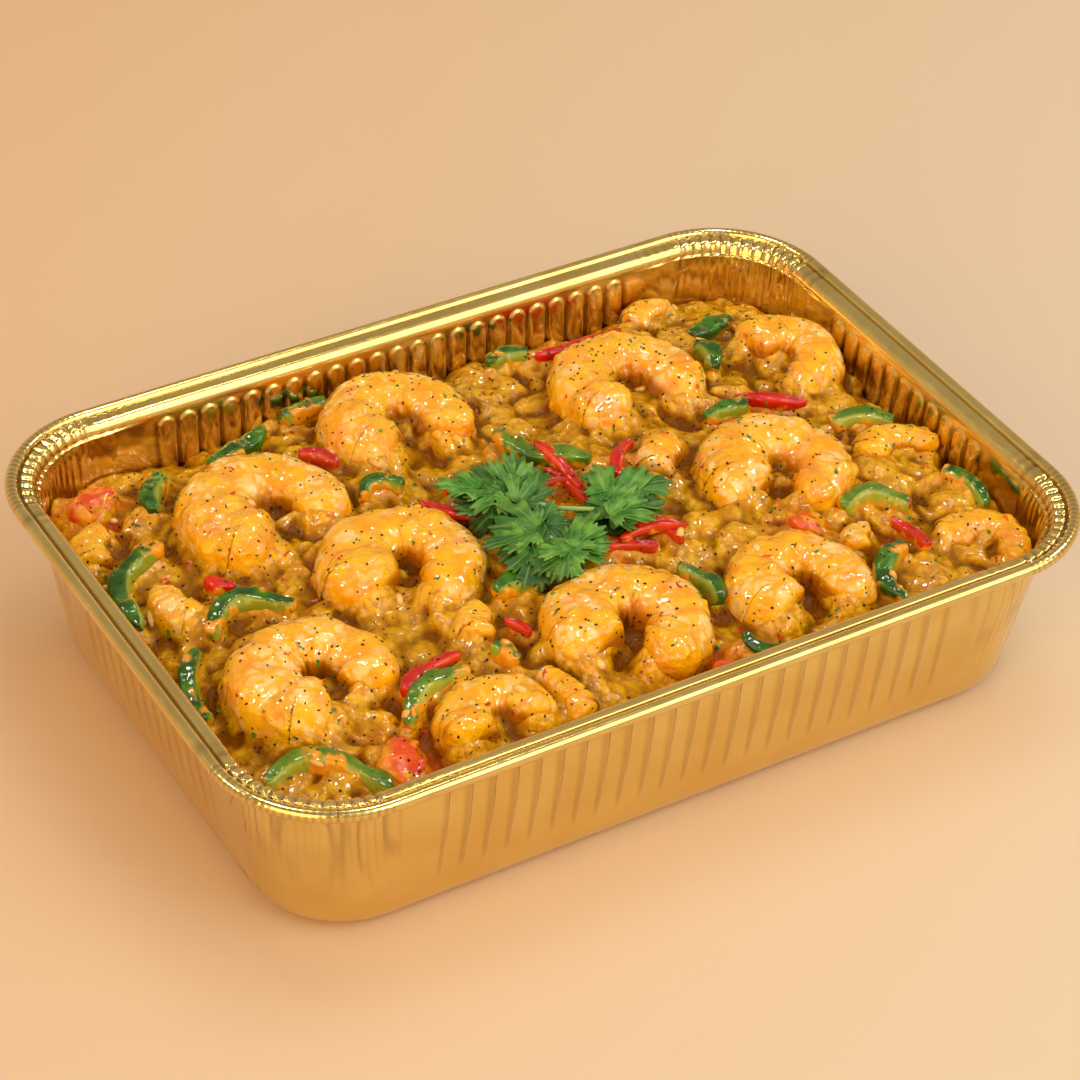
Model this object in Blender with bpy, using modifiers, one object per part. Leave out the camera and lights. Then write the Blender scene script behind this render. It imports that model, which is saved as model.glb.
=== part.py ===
# Foil tray meal: a gold foil tray filled with prawn curry, with a sprig of parsley on top.
# Sizes and places are in millimetres, and mm() turns them into Blender's metres.
# X runs along the tray, Y across it, and the tray stands on Z = 0 with its middle at the origin.
# The food pieces lie in and on the sauce: their undersides are laid on its surface with a small gap.

import math

import bmesh
import bpy
from mathutils import Vector
from mathutils.bvhtree import BVHTree

# Driving dimensions of the tray
TRAY_LENGTH = 214.0
TRAY_WIDTH = 151.0
TRAY_HEIGHT = 46.0
FOIL = 0.5
RIM_CORNER = 28.0
BEAD_RADIUS = 1.5
WALL_TOP_INSET = 6.4
WALL_TOP_DROP = 3.4
WALL_DRAFT = 4.7
WALL_CORNER = 21.5
BASE_EDGE = 7.5

# The pressed panels between the upright grooves of the walls
PANEL_PITCH = 5.5
PANEL_WIDTH = 4.0
PANEL_DEPTH = 1.0
PANEL_TOP_DROP = 4.4
PANEL_SHOULDER = 1.2
PANEL_END = 9.0
LONG_PANELS = 23
SHORT_PANELS = 11
CORNER_STEPS = 9

# Driving dimensions of the food
FOOD_EDGE_LEVEL = 31.5
FOOD_CROWN = 5.5
SAUCE_WALL_GAP = 1.5
SAUCE_FLOOR_GAP = 0.4
SAUCE_CELL = 6.6
POCKET_DEPTH = 3.0
PIECE_GAP = 0.6
PIECE_LIP = 0.5

# How a prawn's body runs from its thick end to its tail
PRAWN_INWARD = 0.15
PRAWN_BLUNTNESS = 3.4
PRAWN_FIRST_RING = 0.62
PRAWN_LAST_RING = 0.55
PRAWN_TAIL_LOSS = 0.3
PRAWN_FLATNESS = 0.95
PRAWN_RINGS = 15
SUNK_PRAWN_RINGS = 8
STRIP_RINGS = 7
PEPPER_TAPER = 0.35
CHILLI_TAPER = 0.75
TOMATO_RINGS = 6

LEAF_THICKNESS = 0.5
LEAF_CLEARANCE = 0.9
STEM_RADIUS = 0.65

# Soft lumps of the sauce, as (height, waves along X, waves along Y, phase along X, phase along Y)
SAUCE_LUMPS = [
    (0.7, 0.23, 0.27, 1.3, 0.4),
    (0.7, 0.12, 0.16, 2.1, 1.0),
]

# Curled prawns: centre, outer radius, angle of the thick end, sweep to the tail, body width and rise
PRAWNS = [
    (-55, 30, 20.0, 255, -300, 18.0, 7.6),
    (-37, -1, 19.0, 215, -305, 17.0, 7.8),
    (-72, -25, 19.0, 265, -310, 17.0, 7.6),
    (-13, 44.5, 18.5, 238, -290, 16.5, 7.8),
    (42.5, 32.5, 19.0, 238, -290, 16.5, 7.8),
    (56, -10, 19.0, 212, -310, 17.0, 7.6),
    (-4, -42, 19.0, 205, -305, 17.0, 7.6),
    (37, -47.5, 17.0, 225, -280, 15.5, 7.2),
    (-43, -54.5, 13.5, 200, -225, 12.0, 5.6),
    (83, 27, 15.0, 125, -240, 13.0, 6.4),
]

# Prawns that lie deeper: centre, outer radius, start angle, sweep, body width and rise
SUNK_PRAWNS = [
    (-88, 38, 10.5, 200, -120, 9.5, 3.6),
    (-80, 13, 11.0, 240, -110, 9.5, 3.8),
    (39, 0, 13.0, 170, -95, 9.5, 4.4),
    (84.5, -52, 11.5, 150, -230, 9.5, 4.6),
    (87, -17, 11.5, 160, -170, 9.0, 4.0),
    (-29, -28, 9.0, 190, -110, 8.5, 4.2),
    (-45, -53, 24.0, -24, 50, 7.0, 3.6),
    (60, -42, 7.0, 190, -140, 6.5, 3.4),
    (66, 56, 9.5, 160, -130, 8.0, 3.0),
]

# Green pepper strips: start, middle, end, width and rise
PEPPERS = [
    ((-80, 29), (-92, 25), (-94.5, 10), 4.2, 3.0),
    ((-83, -2), (-74, 6), (-65, -4), 4.0, 2.8),
    ((-88, -5), (-94, -12), (-95, -24), 3.8, 2.8),
    ((-94, -48), (-82, -47), (-73, -62), 4.2, 3.0),
    ((-74.5, 43.5), (-73, 50), (-67, 55.5), 4.6, 2.8),
    ((-58, 53), (-49, 55), (-40, 60), 4.4, 2.8),
    ((-33.5, 22), (-29.5, 25.5), (-23.5, 22), 3.6, 2.8),
    ((6, 30), (9, 19), (20, 12), 5.2, 3.2),
    ((-24, -22), (-19, -20), (-14, -22), 3.8, 2.6),
    ((-33.5, -34.5), (-32, -38), (-31.5, -41.5), 3.6, 2.6),
    ((-60.5, -47.5), (-53, -41), (-41, -38.7), 3.8, 2.6),
    ((15, -32), (19, -38), (18, -44), 3.8, 3.0),
    ((18, -57), (18, -60), (24, -63), 3.6, 2.6),
    ((52, 12), (58, 14), (63, 12), 4.0, 2.8),
    ((64, 30), (67, 35), (65, 40), 4.6, 3.2),
    ((68, 46), (75, 47), (81, 48), 4.6, 2.8),
    ((78, -1), (87, -1), (92, -6), 4.4, 3.0),
    ((61, -31.5), (69.5, -29), (75, -36), 4.2, 3.2),
    ((57, -62), (57, -52), (66, -48), 4.2, 3.2),
    ((91, -27), (94, -34), (92, -41.5), 3.8, 2.8),
    ((-34, 62), (-27.5, 63.4), (-21, 63.6), 3.8, 2.6),
    ((19, 56), (24, 58), (29, 56), 4.6, 2.8),
]

# Red chilli strips: start, middle, end, width and rise
CHILLIES = [
    ((30, 54.5), (43, 54.5), (55, 55.5), 3.4, 2.6),
    ((-38, 46), (-34, 43), (-32, 38), 3.6, 2.8),
    ((22.5, 3), (25, 9), (32, 13.6), 3.0, 2.6),
    ((62, 17), (70, 12), (78, 9), 3.2, 3.0),
    ((69.5, -37), (71, -43), (70.5, -50), 3.0, 2.8),
    ((-57.5, -40), (-51.5, -36), (-41, -34.5), 3.2, 3.0),
    ((-26.5, -28), (-24.5, -30.5), (-24, -34.5), 2.8, 2.4),
    ((-76, 16), (-75, 13), (-72, 10), 3.4, 2.6),
    ((8, 13), (11, 4), (9, -8), 2.6, 2.4),
    ((14, -9), (19, -15), (22, -24), 2.6, 2.4),
    ((-4, -19), (7, -18), (16, -23), 2.6, 2.4),
    ((-16, 17), (-13, 11), (-12, 4), 2.6, 2.4),
]

# Tomato pieces: centre, length, width, turn and rise
TOMATOES = [
    (-86, 54, 13.0, 9.0, 20, 3.6),
    (-66, -56, 12.0, 9.0, 70, 3.6),
    (50.5, -30.5, 9.0, 6.5, 0, 3.0),
    (9, -63, 8.0, 5.0, 10, 2.8),
]


# Half of a leaflet's toothed outline, as (distance along it, half width) for a leaflet 1 long
LEAFLET_OUTLINE = [
    (-0.08, 0.05),
    (0.19, 0.1),
    (0.33, 0.42),
    (0.46, 0.46),
    (0.52, 0.18),
    (0.69, 0.3),
    (0.78, 0.14),
    (1.0, 0.02),
]

# The sprig of parsley: stems through three points, then leaflets as base, direction, length and tilt
STEMS = [
    ((2, -2, 41.6), (-5, 4, 42.6), (-12, 9, 43.6)),
    ((2, -2, 41.6), (-4, -8, 42.4), (-7, -14, 43.4)),
    ((2, -2, 41.6), (10, -4, 42.6), (19, -7, 43.4)),
]
LEAFLETS = [
    ((-12, 9, 43.6), 140, 10.0, 6),
    ((-8, 6, 43.0), 70, 12.0, 6),
    ((-8, 6.5, 43.1), 208, 10.5, 4),
    ((-2, 1.5, 42.2), 95, 13.0, 8),
    ((-7, -14, 43.4), 238, 11.0, 4),
    ((-4.5, -9, 42.6), 305, 12.0, 6),
    ((-4.5, -9, 42.6), 178, 12.0, 4),
    ((19, -7, 43.4), 0, 11.0, 4),
    ((14, -5.3, 43.0), 62, 12.0, 6),
    ((14, -5.3, 43.0), 295, 10.0, 4),
]


def mm(x, y, z):
    return Vector((x, y, z)) * 0.001


def srgb(code):
    values = [int(code[i : i + 2], 16) / 255 for i in (0, 2, 4)]
    return [v / 12.92 if v <= 0.04045 else ((v + 0.055) / 1.055) ** 2.4 for v in values] + [1.0]


def material(name, colour, roughness, metallic=0.0):
    made = bpy.data.materials.new(name)
    made.use_nodes = True
    made.diffuse_color = srgb(colour)
    shader = made.node_tree.nodes["Principled BSDF"]
    shader.inputs["Base Color"].default_value = srgb(colour)
    shader.inputs["Roughness"].default_value = roughness
    shader.inputs["Metallic"].default_value = metallic
    return made


def add_object(name, bm, finish, collection):
    """Turns a bmesh into an object of the collection, with its faces pointing out."""
    bmesh.ops.recalc_face_normals(bm, faces=bm.faces)
    mesh = bpy.data.meshes.new(name)
    bm.to_mesh(mesh)
    bm.free()
    if finish:
        mesh.materials.append(finish)
    made = bpy.data.objects.new(name, mesh)
    collection.objects.link(made)
    return made


def loft(bm, rings, closed=True):
    """Joins rings of vertices with as many points each by quads."""
    for low, high in zip(rings, rings[1:]):
        count = len(low)
        for i in range(count if closed else count - 1):
            j = (i + 1) % count
            bm.faces.new((low[i], low[j], high[j], high[i]))


def side_stations(count):
    """Places along one straight wall, as (distance from its middle, whether the panel is there)."""
    found = [(-PANEL_PITCH * count / 2, 0.0)]
    for i in range(count):
        middle = PANEL_PITCH * (i - (count - 1) / 2)
        found.append((middle - PANEL_WIDTH / 2, 1.0))
        found.append((middle + PANEL_WIDTH / 2, 1.0))
        found.append((middle + PANEL_PITCH / 2, 0.0))
    return found


def tray_ring(bm, inset, corner, z, panels=None):
    """One level of the tray as four corner arcs and the points of the straight walls between them.
    With panels=None the straight walls have no points of their own."""
    half_x = TRAY_LENGTH / 2 - inset
    half_y = TRAY_WIDTH / 2 - inset
    arcs = []
    walls = []
    for quarter in range(4):
        turn = math.pi / 2 * quarter
        sign_x = (1, -1, -1, 1)[quarter]
        sign_y = (1, 1, -1, -1)[quarter]
        centre = (sign_x * (half_x - corner), sign_y * (half_y - corner))
        arc = []
        for step in range(CORNER_STEPS + 1):
            angle = turn + math.pi / 2 * step / CORNER_STEPS
            x = centre[0] + corner * math.cos(angle)
            y = centre[1] + corner * math.sin(angle)
            arc.append(bm.verts.new(mm(x, y, z)))
        arcs.append(arc)
        wall = []
        if panels is not None:
            # The wall after this corner faces the next quarter turn's direction
            out = Vector((math.cos(turn + math.pi / 2), math.sin(turn + math.pi / 2)))
            along = Vector((-out.y, out.x))
            reach = half_y if quarter % 2 == 0 else half_x
            count = LONG_PANELS if quarter % 2 == 0 else SHORT_PANELS
            for place, pushed in side_stations(count):
                spot = out * (reach - pushed * panels) + along * place
                wall.append(bm.verts.new(mm(spot.x, spot.y, z)))
        walls.append(wall)
    return arcs, walls


def join_levels(bm, low, high):
    """Faces between two levels of the tray. Where one has no wall points, one face spans each wall."""
    for quarter in range(4):
        following = (quarter + 1) % 4
        loft(bm, [low[0][quarter], high[0][quarter]], closed=False)
        run_low = [low[0][quarter][-1]] + low[1][quarter] + [low[0][following][0]]
        run_high = [high[0][quarter][-1]] + high[1][quarter] + [high[0][following][0]]
        if len(run_low) == len(run_high):
            loft(bm, [run_low, run_high], closed=False)
        else:
            bm.faces.new(run_low + run_high[::-1])


def wall_inset(z):
    """How far the food side of the wall stands in from the rim's outer edge at a height."""
    top = TRAY_HEIGHT - WALL_TOP_DROP
    share = (top - z) / (top - BASE_EDGE)
    return WALL_TOP_INSET + WALL_DRAFT * min(max(share, 0.0), 1.0)


def foil_tray(collection, finish):
    """The food side of the pressed foil, from under the rolled edge to the floor, then its thickness."""
    bm = bmesh.new()
    levels = []
    middle = TRAY_HEIGHT - BEAD_RADIUS
    for degrees in (-140, -90, -40, 0, 50, 90, 140):
        angle = math.radians(degrees)
        inset = BEAD_RADIUS * (1 - math.cos(angle))
        levels.append(tray_ring(bm, inset, RIM_CORNER - inset, middle + BEAD_RADIUS * math.sin(angle)))
    # The flange: a shallow channel, a raised line and a band that slopes in to the wall
    for inset, drop in ((3.9, 0.7), (6.1, 2.4), (WALL_TOP_INSET, WALL_TOP_DROP)):
        levels.append(tray_ring(bm, inset, RIM_CORNER - inset, TRAY_HEIGHT - drop))
    panel_top = TRAY_HEIGHT - PANEL_TOP_DROP
    for z, panels in ((panel_top, 0.0), (panel_top - PANEL_SHOULDER, PANEL_DEPTH), (PANEL_END, 0.0)):
        levels.append(tray_ring(bm, wall_inset(z), WALL_CORNER, z, panels))
    inner_edge = BASE_EDGE - FOIL
    for degrees in (0, 45, 90):
        angle = math.radians(degrees)
        inset = wall_inset(BASE_EDGE) + inner_edge * (1 - math.cos(angle))
        z = FOIL + inner_edge * (1 - math.sin(angle))
        corner = WALL_CORNER - inner_edge * (1 - math.cos(angle))
        levels.append(tray_ring(bm, inset, corner, z))
    for low, high in zip(levels, levels[1:]):
        join_levels(bm, low, high)
    floor_points = []
    for arc in levels[-1][0]:
        floor_points.extend(arc)
    bm.faces.new(floor_points)
    tray = add_object("foil_tray", bm, finish, collection)
    thickness = tray.modifiers.new("foil thickness", "SOLIDIFY")
    thickness.thickness = FOIL * 0.001
    thickness.use_even_offset = True
    thickness.offset = -1.0
    return tray


def sauce_level(x, y):
    """The sauce's surface: a low crown, soft lumps, and a hollow under each big prawn."""
    across = 1 - (abs(x) / (TRAY_LENGTH / 2 - WALL_TOP_INSET)) ** 4
    along = 1 - (abs(y) / (TRAY_WIDTH / 2 - WALL_TOP_INSET)) ** 4
    z = FOOD_EDGE_LEVEL + FOOD_CROWN * max(across, 0.0) * max(along, 0.0)
    for height, along_x, along_y, phase_x, phase_y in SAUCE_LUMPS:
        z += height * math.sin(x * along_x + phase_x) * math.sin(y * along_y + phase_y)
    return z


def sauce_surface(x, y):
    z = sauce_level(x, y)
    hollow = 0.0
    for px, py, radius, _, _, _, _ in PRAWNS:
        share = ((x - px) ** 2 + (y - py) ** 2) / radius**2
        if share < 1:
            hollow = max(hollow, POCKET_DEPTH * (1 - share) ** 2)
    return z - hollow


def curry_sauce(collection, finish):
    """The sauce fills the tray up to its level. A square grid is bent to the tray's rounded outline."""
    top_inset = wall_inset(FOOD_EDGE_LEVEL) + SAUCE_WALL_GAP
    half_x = TRAY_LENGTH / 2 - top_inset
    half_y = TRAY_WIDTH / 2 - top_inset
    corner = WALL_CORNER - SAUCE_WALL_GAP
    columns = round(2 * half_x / SAUCE_CELL)
    rows = round(2 * half_y / SAUCE_CELL)
    bm = bmesh.new()
    grid = []
    for row in range(rows + 1):
        line = []
        for column in range(columns + 1):
            x = half_x * (2 * column / columns - 1)
            y = half_y * (2 * row / rows - 1)
            core_x = min(max(x, corner - half_x), half_x - corner)
            core_y = min(max(y, corner - half_y), half_y - corner)
            core = Vector((core_x, core_y))
            away = Vector((x, y)) - core
            if away.length > 0:
                away *= max(abs(away.x), abs(away.y)) / away.length
            spot = core + away
            line.append(bm.verts.new(mm(spot.x, spot.y, sauce_surface(spot.x, spot.y))))
        grid.append(line)
    loft(bm, grid, closed=False)
    right_edge = [line[-1] for line in grid[:-1]]
    left_edge = [line[0] for line in grid[:0:-1]]
    edge = grid[0][:-1] + right_edge + grid[-1][:0:-1] + left_edge
    rings = [edge]
    inner_edge = BASE_EDGE - FOIL
    wall_foot = wall_inset(BASE_EDGE)
    for inset, z in (
        (wall_foot + SAUCE_FLOOR_GAP + 0.3, PANEL_END),
        (wall_foot + inner_edge * 0.3 + SAUCE_FLOOR_GAP, FOIL + inner_edge * 0.3 + SAUCE_FLOOR_GAP),
        (wall_foot + inner_edge, FOIL + SAUCE_FLOOR_GAP),
    ):
        ring = []
        for vert in edge:
            x = vert.co.x * (TRAY_LENGTH / 2 - inset) / half_x
            y = vert.co.y * (TRAY_WIDTH / 2 - inset) / half_y
            ring.append(bm.verts.new((x, y, z * 0.001)))
        rings.append(ring)
    loft(bm, rings)
    bm.faces.new(rings[-1])
    bmesh.ops.triangulate(bm, faces=bm.faces)
    sauce = add_object("curry_sauce", bm, finish, collection)
    return sauce


class Surface:
    """Heights of the top of one or more meshes, read straight down."""

    def __init__(self, sources):
        corners = []
        faces = []
        for source in sources:
            first = len(corners)
            corners.extend(vert.co.copy() for vert in source.data.vertices)
            faces.extend(tuple(first + i for i in face.vertices) for face in source.data.polygons)
        self.tree = BVHTree.FromPolygons(corners, faces)

    def height(self, x, y):
        found = self.tree.ray_cast(mm(x, y, 200), Vector((0, 0, -1)))
        return found[0].z * 1000 if found[0] else FOOD_EDGE_LEVEL


def circle_section(sides):
    angles = [2 * math.pi * i / sides for i in range(sides)]
    return [(math.cos(angle), math.sin(angle)) for angle in angles]


STRIP_SECTION = [(-1.0, -1.0), (1.0, -1.0), (0.62, 1.0), (-0.62, 1.0)]


def laid_piece(name, stations, section, surface, finish, collection):
    """A bent bar along stations of (x, y, half width, half height, height of its middle).
    Its underside is laid on the surface, with the lip keeping the thinnest edge from closing up."""
    bm = bmesh.new()
    rings = []
    for i, (x, y, half_width, half_height, middle) in enumerate(stations):
        before = stations[max(i - 1, 0)]
        after = stations[min(i + 1, len(stations) - 1)]
        along = Vector((after[0] - before[0], after[1] - before[1])).normalized()
        ring = []
        for side, up in section:
            px = x - along.y * half_width * side
            py = y + along.x * half_width * side
            floor = surface.height(px, py) + PIECE_GAP
            pz = max(middle + half_height * up, floor + PIECE_LIP * (1 + up))
            ring.append(bm.verts.new(mm(px, py, pz)))
        rings.append(ring)
    loft(bm, rings)
    bm.faces.new(rings[0])
    bm.faces.new(rings[-1])
    bmesh.ops.triangulate(bm, faces=bm.faces)
    return add_object(name, bm, finish, collection)


def prawn(name, numbers, rings, sides, surface, finish, collection):
    """A peeled prawn lying on its side: a curl that is thick at the head end and thin at the tail."""
    cx, cy, radius, start, sweep, width, rise = numbers
    level = sauce_level(cx, cy)
    stations = []
    for i in range(rings):
        t = i / (rings - 1)
        head = min(PRAWN_FIRST_RING + PRAWN_BLUNTNESS * t, 1.0)
        tail = PRAWN_LAST_RING if i == rings - 1 else 1 - PRAWN_TAIL_LOSS * t**2
        swell = head * tail
        half_width = width / 2 * swell
        angle = math.radians(start + sweep * t)
        track = radius - half_width - PRAWN_INWARD * t * (radius - width)
        half_height = half_width * PRAWN_FLATNESS
        top = level + rise * (1 + swell) / 2
        spot = (cx + track * math.cos(angle), cy + track * math.sin(angle))
        stations.append((spot[0], spot[1], half_width, half_height, top - half_height))
    return laid_piece(name, stations, circle_section(sides), surface, finish, collection)


def strip(name, numbers, taper, surface, finish, collection):
    """A cut strip on the curve through its three points, narrowed to its ends by the taper."""
    start, middle, end, width, rise = numbers
    stations = []
    for i in range(STRIP_RINGS):
        t = i / (STRIP_RINGS - 1)
        x = start[0] * (1 - t) * (1 - 2 * t) + middle[0] * 4 * t * (1 - t) + end[0] * t * (2 * t - 1)
        y = start[1] * (1 - t) * (1 - 2 * t) + middle[1] * 4 * t * (1 - t) + end[1] * t * (2 * t - 1)
        half_width = width / 2 * (1 - taper * (2 * t - 1) ** 2)
        half_height = rise / 2
        floor = surface.height(x, y) + PIECE_GAP
        stations.append((x, y, half_width, half_height, floor + half_height))
    return laid_piece(name, stations, STRIP_SECTION, surface, finish, collection)


def tomato(name, numbers, surface, finish, collection):
    """A soft cut piece with an uneven outline."""
    cx, cy, length, width, turn, rise = numbers
    stations = []
    for i in range(TOMATO_RINGS):
        t = 2 * i / (TOMATO_RINGS - 1) - 1
        angle = math.radians(turn)
        x = cx + length / 2 * t * math.cos(angle)
        y = cy + length / 2 * t * math.sin(angle)
        half_width = width / 2 * math.sqrt(1.08 - t * t) * (1 + 0.12 * math.sin(5 * i + cx))
        floor = surface.height(x, y) + PIECE_GAP
        stations.append((x, y, half_width, rise / 2, floor + rise / 2))
    return laid_piece(name, stations, circle_section(6), surface, finish, collection)


def stem(route, collection):
    """A round stem through the route's points."""
    curve = bpy.data.curves.new("stem", "CURVE")
    curve.dimensions = "3D"
    curve.bevel_depth = STEM_RADIUS * 0.001
    curve.bevel_resolution = 1
    curve.use_fill_caps = True
    spline = curve.splines.new("POLY")
    spline.points.add(len(route) - 1)
    for point, place in zip(spline.points, route):
        point.co = (*mm(*place), 1.0)
    guide = bpy.data.objects.new("stem guide", curve)
    collection.objects.link(guide)
    bpy.context.view_layer.update()
    mesh = bpy.data.meshes.new_from_object(guide.evaluated_get(bpy.context.evaluated_depsgraph_get()))
    bpy.data.objects.remove(guide)
    bm = bmesh.new()
    bm.from_mesh(mesh)
    bmesh.ops.remove_doubles(bm, verts=bm.verts, dist=1e-6)
    return add_object("stem", bm, None, collection)


def leaflet(base, direction, length, tilt, surface, collection):
    """One toothed leaflet: a thin wavy sheet that is held clear of what lies under it."""
    heading = math.radians(direction)
    along = Vector((math.cos(heading), math.sin(heading)))
    rise = math.tan(math.radians(tilt))
    bm = bmesh.new()
    rows = []
    for i, (reach, half) in enumerate(LEAFLET_OUTLINE):
        row = []
        for side in (-1, 0, 1):
            away = reach * length
            spot = Vector(base[:2]) + along * away + Vector((-along.y, along.x)) * side * half * length
            wave = 0.5 * math.sin(2.4 * i + direction) * abs(side) * half / 0.3
            z = base[2] + away * rise * (1 - 0.5 * reach) + wave
            if reach > 0:
                z = max(z, surface.height(spot.x, spot.y) + LEAF_CLEARANCE)
            row.append(bm.verts.new(mm(spot.x, spot.y, z)))
        rows.append(row)
    loft(bm, rows, closed=False)
    bmesh.ops.triangulate(bm, faces=bm.faces)
    leaf = add_object("leaflet", bm, None, collection)
    thickness = leaf.modifiers.new("leaf thickness", "SOLIDIFY")
    thickness.thickness = LEAF_THICKNESS * 0.001
    thickness.offset = 0.0
    return leaf


def parsley_sprig(collection, pieces, surface, finish):
    """The sprig as one body: its first stem takes up the other stems and the leaflets by one union."""
    whole, *others = [stem(route, pieces) for route in STEMS]
    pieces.objects.unlink(whole)
    collection.objects.link(whole)
    for base, direction, length, tilt in LEAFLETS:
        leaflet(base, direction, length, tilt, surface, pieces)
    union = whole.modifiers.new("union", "BOOLEAN")
    union.operation = "UNION"
    union.operand_type = "COLLECTION"
    union.collection = pieces
    union.solver = "EXACT"
    bpy.context.view_layer.update()
    mesh = bpy.data.meshes.new_from_object(whole.evaluated_get(bpy.context.evaluated_depsgraph_get()))
    for piece in [whole, *pieces.objects]:
        bpy.data.objects.remove(piece)
    mesh.name = "parsley_sprig"
    mesh.materials.clear()
    mesh.materials.append(finish)
    sprig = bpy.data.objects.new("parsley_sprig", mesh)
    collection.objects.link(sprig)
    return sprig


def main():
    for old in list(bpy.data.objects):
        bpy.data.objects.remove(old)
    meal = bpy.data.collections.new("foil tray meal")
    bpy.context.scene.collection.children.link(meal)
    sprig_pieces = bpy.data.collections.new("sprig pieces")
    bpy.context.scene.collection.children.link(sprig_pieces)

    gold_foil = material("gold foil", "D9A850", 0.3, 1.0)
    curry = material("curry sauce", "D9921C", 0.35)
    prawn_flesh = material("cooked prawn", "F0B050", 0.35)
    pepper_skin = material("green pepper", "3F6B1E", 0.3)
    chilli_skin = material("red chilli", "C81E14", 0.3)
    tomato_flesh = material("tomato", "E0501E", 0.35)
    parsley_leaf = material("parsley", "2F8A22", 0.5)

    foil_tray(meal, gold_foil)
    sauce = curry_sauce(meal, curry)
    surface = Surface([sauce])
    for i, numbers in enumerate(PRAWNS):
        prawn(f"prawn_{i + 1:02d}", numbers, PRAWN_RINGS, 8, surface, prawn_flesh, meal)
    for i, numbers in enumerate(SUNK_PRAWNS):
        prawn(f"sunk_prawn_{i + 1:02d}", numbers, SUNK_PRAWN_RINGS, 6, surface, prawn_flesh, meal)
    for i, numbers in enumerate(PEPPERS):
        strip(f"pepper_{i + 1:02d}", numbers, PEPPER_TAPER, surface, pepper_skin, meal)
    for i, numbers in enumerate(CHILLIES):
        strip(f"chilli_{i + 1:02d}", numbers, CHILLI_TAPER, surface, chilli_skin, meal)
    for i, numbers in enumerate(TOMATOES):
        tomato(f"tomato_{i + 1:02d}", numbers, surface, tomato_flesh, meal)
    food = Surface([piece for piece in meal.objects if piece.name != "foil_tray"])
    parsley_sprig(meal, sprig_pieces, food, parsley_leaf)


main()
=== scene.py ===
# Foil tray meal: the looks of the tray, the curry and everything that lies on it.
# Sizes and places are in millimetres, with the tray's middle at the origin and its underside on Z = 0.
# The values that the solids are built from are repeated here, so each fine piece lies where its solid is.

import math

import bmesh
import bpy
import numpy as np
from mathutils import Matrix, Vector
from mathutils.bvhtree import BVHTree


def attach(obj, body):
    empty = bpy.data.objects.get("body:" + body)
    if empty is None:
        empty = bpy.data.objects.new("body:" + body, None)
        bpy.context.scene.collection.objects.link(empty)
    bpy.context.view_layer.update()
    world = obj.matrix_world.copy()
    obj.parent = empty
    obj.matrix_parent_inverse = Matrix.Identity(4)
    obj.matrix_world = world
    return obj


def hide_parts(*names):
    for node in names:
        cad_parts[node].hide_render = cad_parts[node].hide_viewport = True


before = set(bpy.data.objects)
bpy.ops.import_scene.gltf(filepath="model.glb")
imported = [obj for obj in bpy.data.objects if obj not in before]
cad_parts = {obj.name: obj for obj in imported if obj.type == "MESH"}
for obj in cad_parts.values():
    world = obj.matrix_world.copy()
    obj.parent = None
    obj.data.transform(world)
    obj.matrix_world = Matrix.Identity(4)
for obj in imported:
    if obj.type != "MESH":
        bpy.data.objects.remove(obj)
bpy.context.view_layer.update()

# The tray
TRAY_LENGTH = 214.0
TRAY_WIDTH = 151.0
TRAY_HEIGHT = 46.0
FOIL = 0.5
RIM_CORNER = 28.0
BEAD_RADIUS = 1.5
BEAD_STEPS = 13
BEAD_TURN = 140
WALL_TOP_INSET = 6.4
WALL_TOP_DROP = 3.4
WALL_DRAFT = 4.7
WALL_CORNER = 21.5
BASE_EDGE = 7.5
BASE_STEPS = 5

# The flange from the rolled edge to the wall: a channel, a ridge and a sloping band, as (inset, drop)
FLANGE_STEPS = [
    (2.9, 1.1),
    (3.1, 1.6),
    (3.4, 1.6),
    (3.55, 1.1),
    (3.8, 0.62),
    (4.1, 0.74),
    (4.8, 0.82),
    (5.5, 0.9),
    (5.9, 1.05),
    (6.25, 1.4),
    (6.6, 1.95),
    (6.9, 2.5),
    (7.1, 3.05),
    (7.22, 3.6),
]
# Between these insets the flange's channel gets full painted shade
CHANNEL = (3.0, 3.5)

# How far the wall's top stands in more, so that it meets the flange, from one height to another
FLANGE_FOOT = 0.8
FOOT_BOTTOM = 28.0
FOOT_HEIGHT = 12.0

# The pressed panels of the walls
PANEL_PITCH = 5.5
PANEL_WIDTH = 4.3
PANEL_EDGE = 0.7
PANEL_DEPTH = 1.2
PANEL_ARCH = 1.5
PANEL_TOP = TRAY_HEIGHT - 3.9
PANEL_LIP = 0.9
PANEL_SHOULDER = 9.0
PANEL_END = 9.0
PANEL_STEPS = 16
LONG_PANELS = 23
SHORT_PANELS = 11
PLAIN_STEPS = 12
CORNER_STEPS = 90

# Heights of the wall's rings, close together where the panels have their arched tops
WALL_HEIGHTS = [42.1, 41.9, 41.6, 41.3, 41.0, 40.6, 40.2, 39.8, 39.4, 39.0, 38.4, 37.6, 36.4]
WALL_HEIGHTS += [35, 33, 30, 26, 22, 18, 14, 11, 9, 7.5]

# Creases that the press leaves at the corners
WALL_PLEAT = 1.9
WALL_PLEAT_DEPTH = 0.45
BAND_PLEAT = 2.5
BAND_PLEAT_DEPTH = 0.65
CREASE_REACH = 17.0
BEAD_DENT = 0.12
CRUMPLE_SIZE = (4.0 / 0.9, 4.0 / 0.9, 4.0 / 0.25)
STREAK_DEPTH = 0.25
WAVE_SIZE = 26.0
WAVE_DEPTH = 0.25

# How strongly painted shade darkens each kind of crease, on the food side and on the outside
OUTER_GROOVE_SHADE = 0.42
INNER_PLEAT_SHADE = 0.5
OUTER_PLEAT_SHADE = 0.55
STREAK_SHADE = 0.5
BAND_SHADE = 0.9
BEAD_SHADE = 0.8

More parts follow.
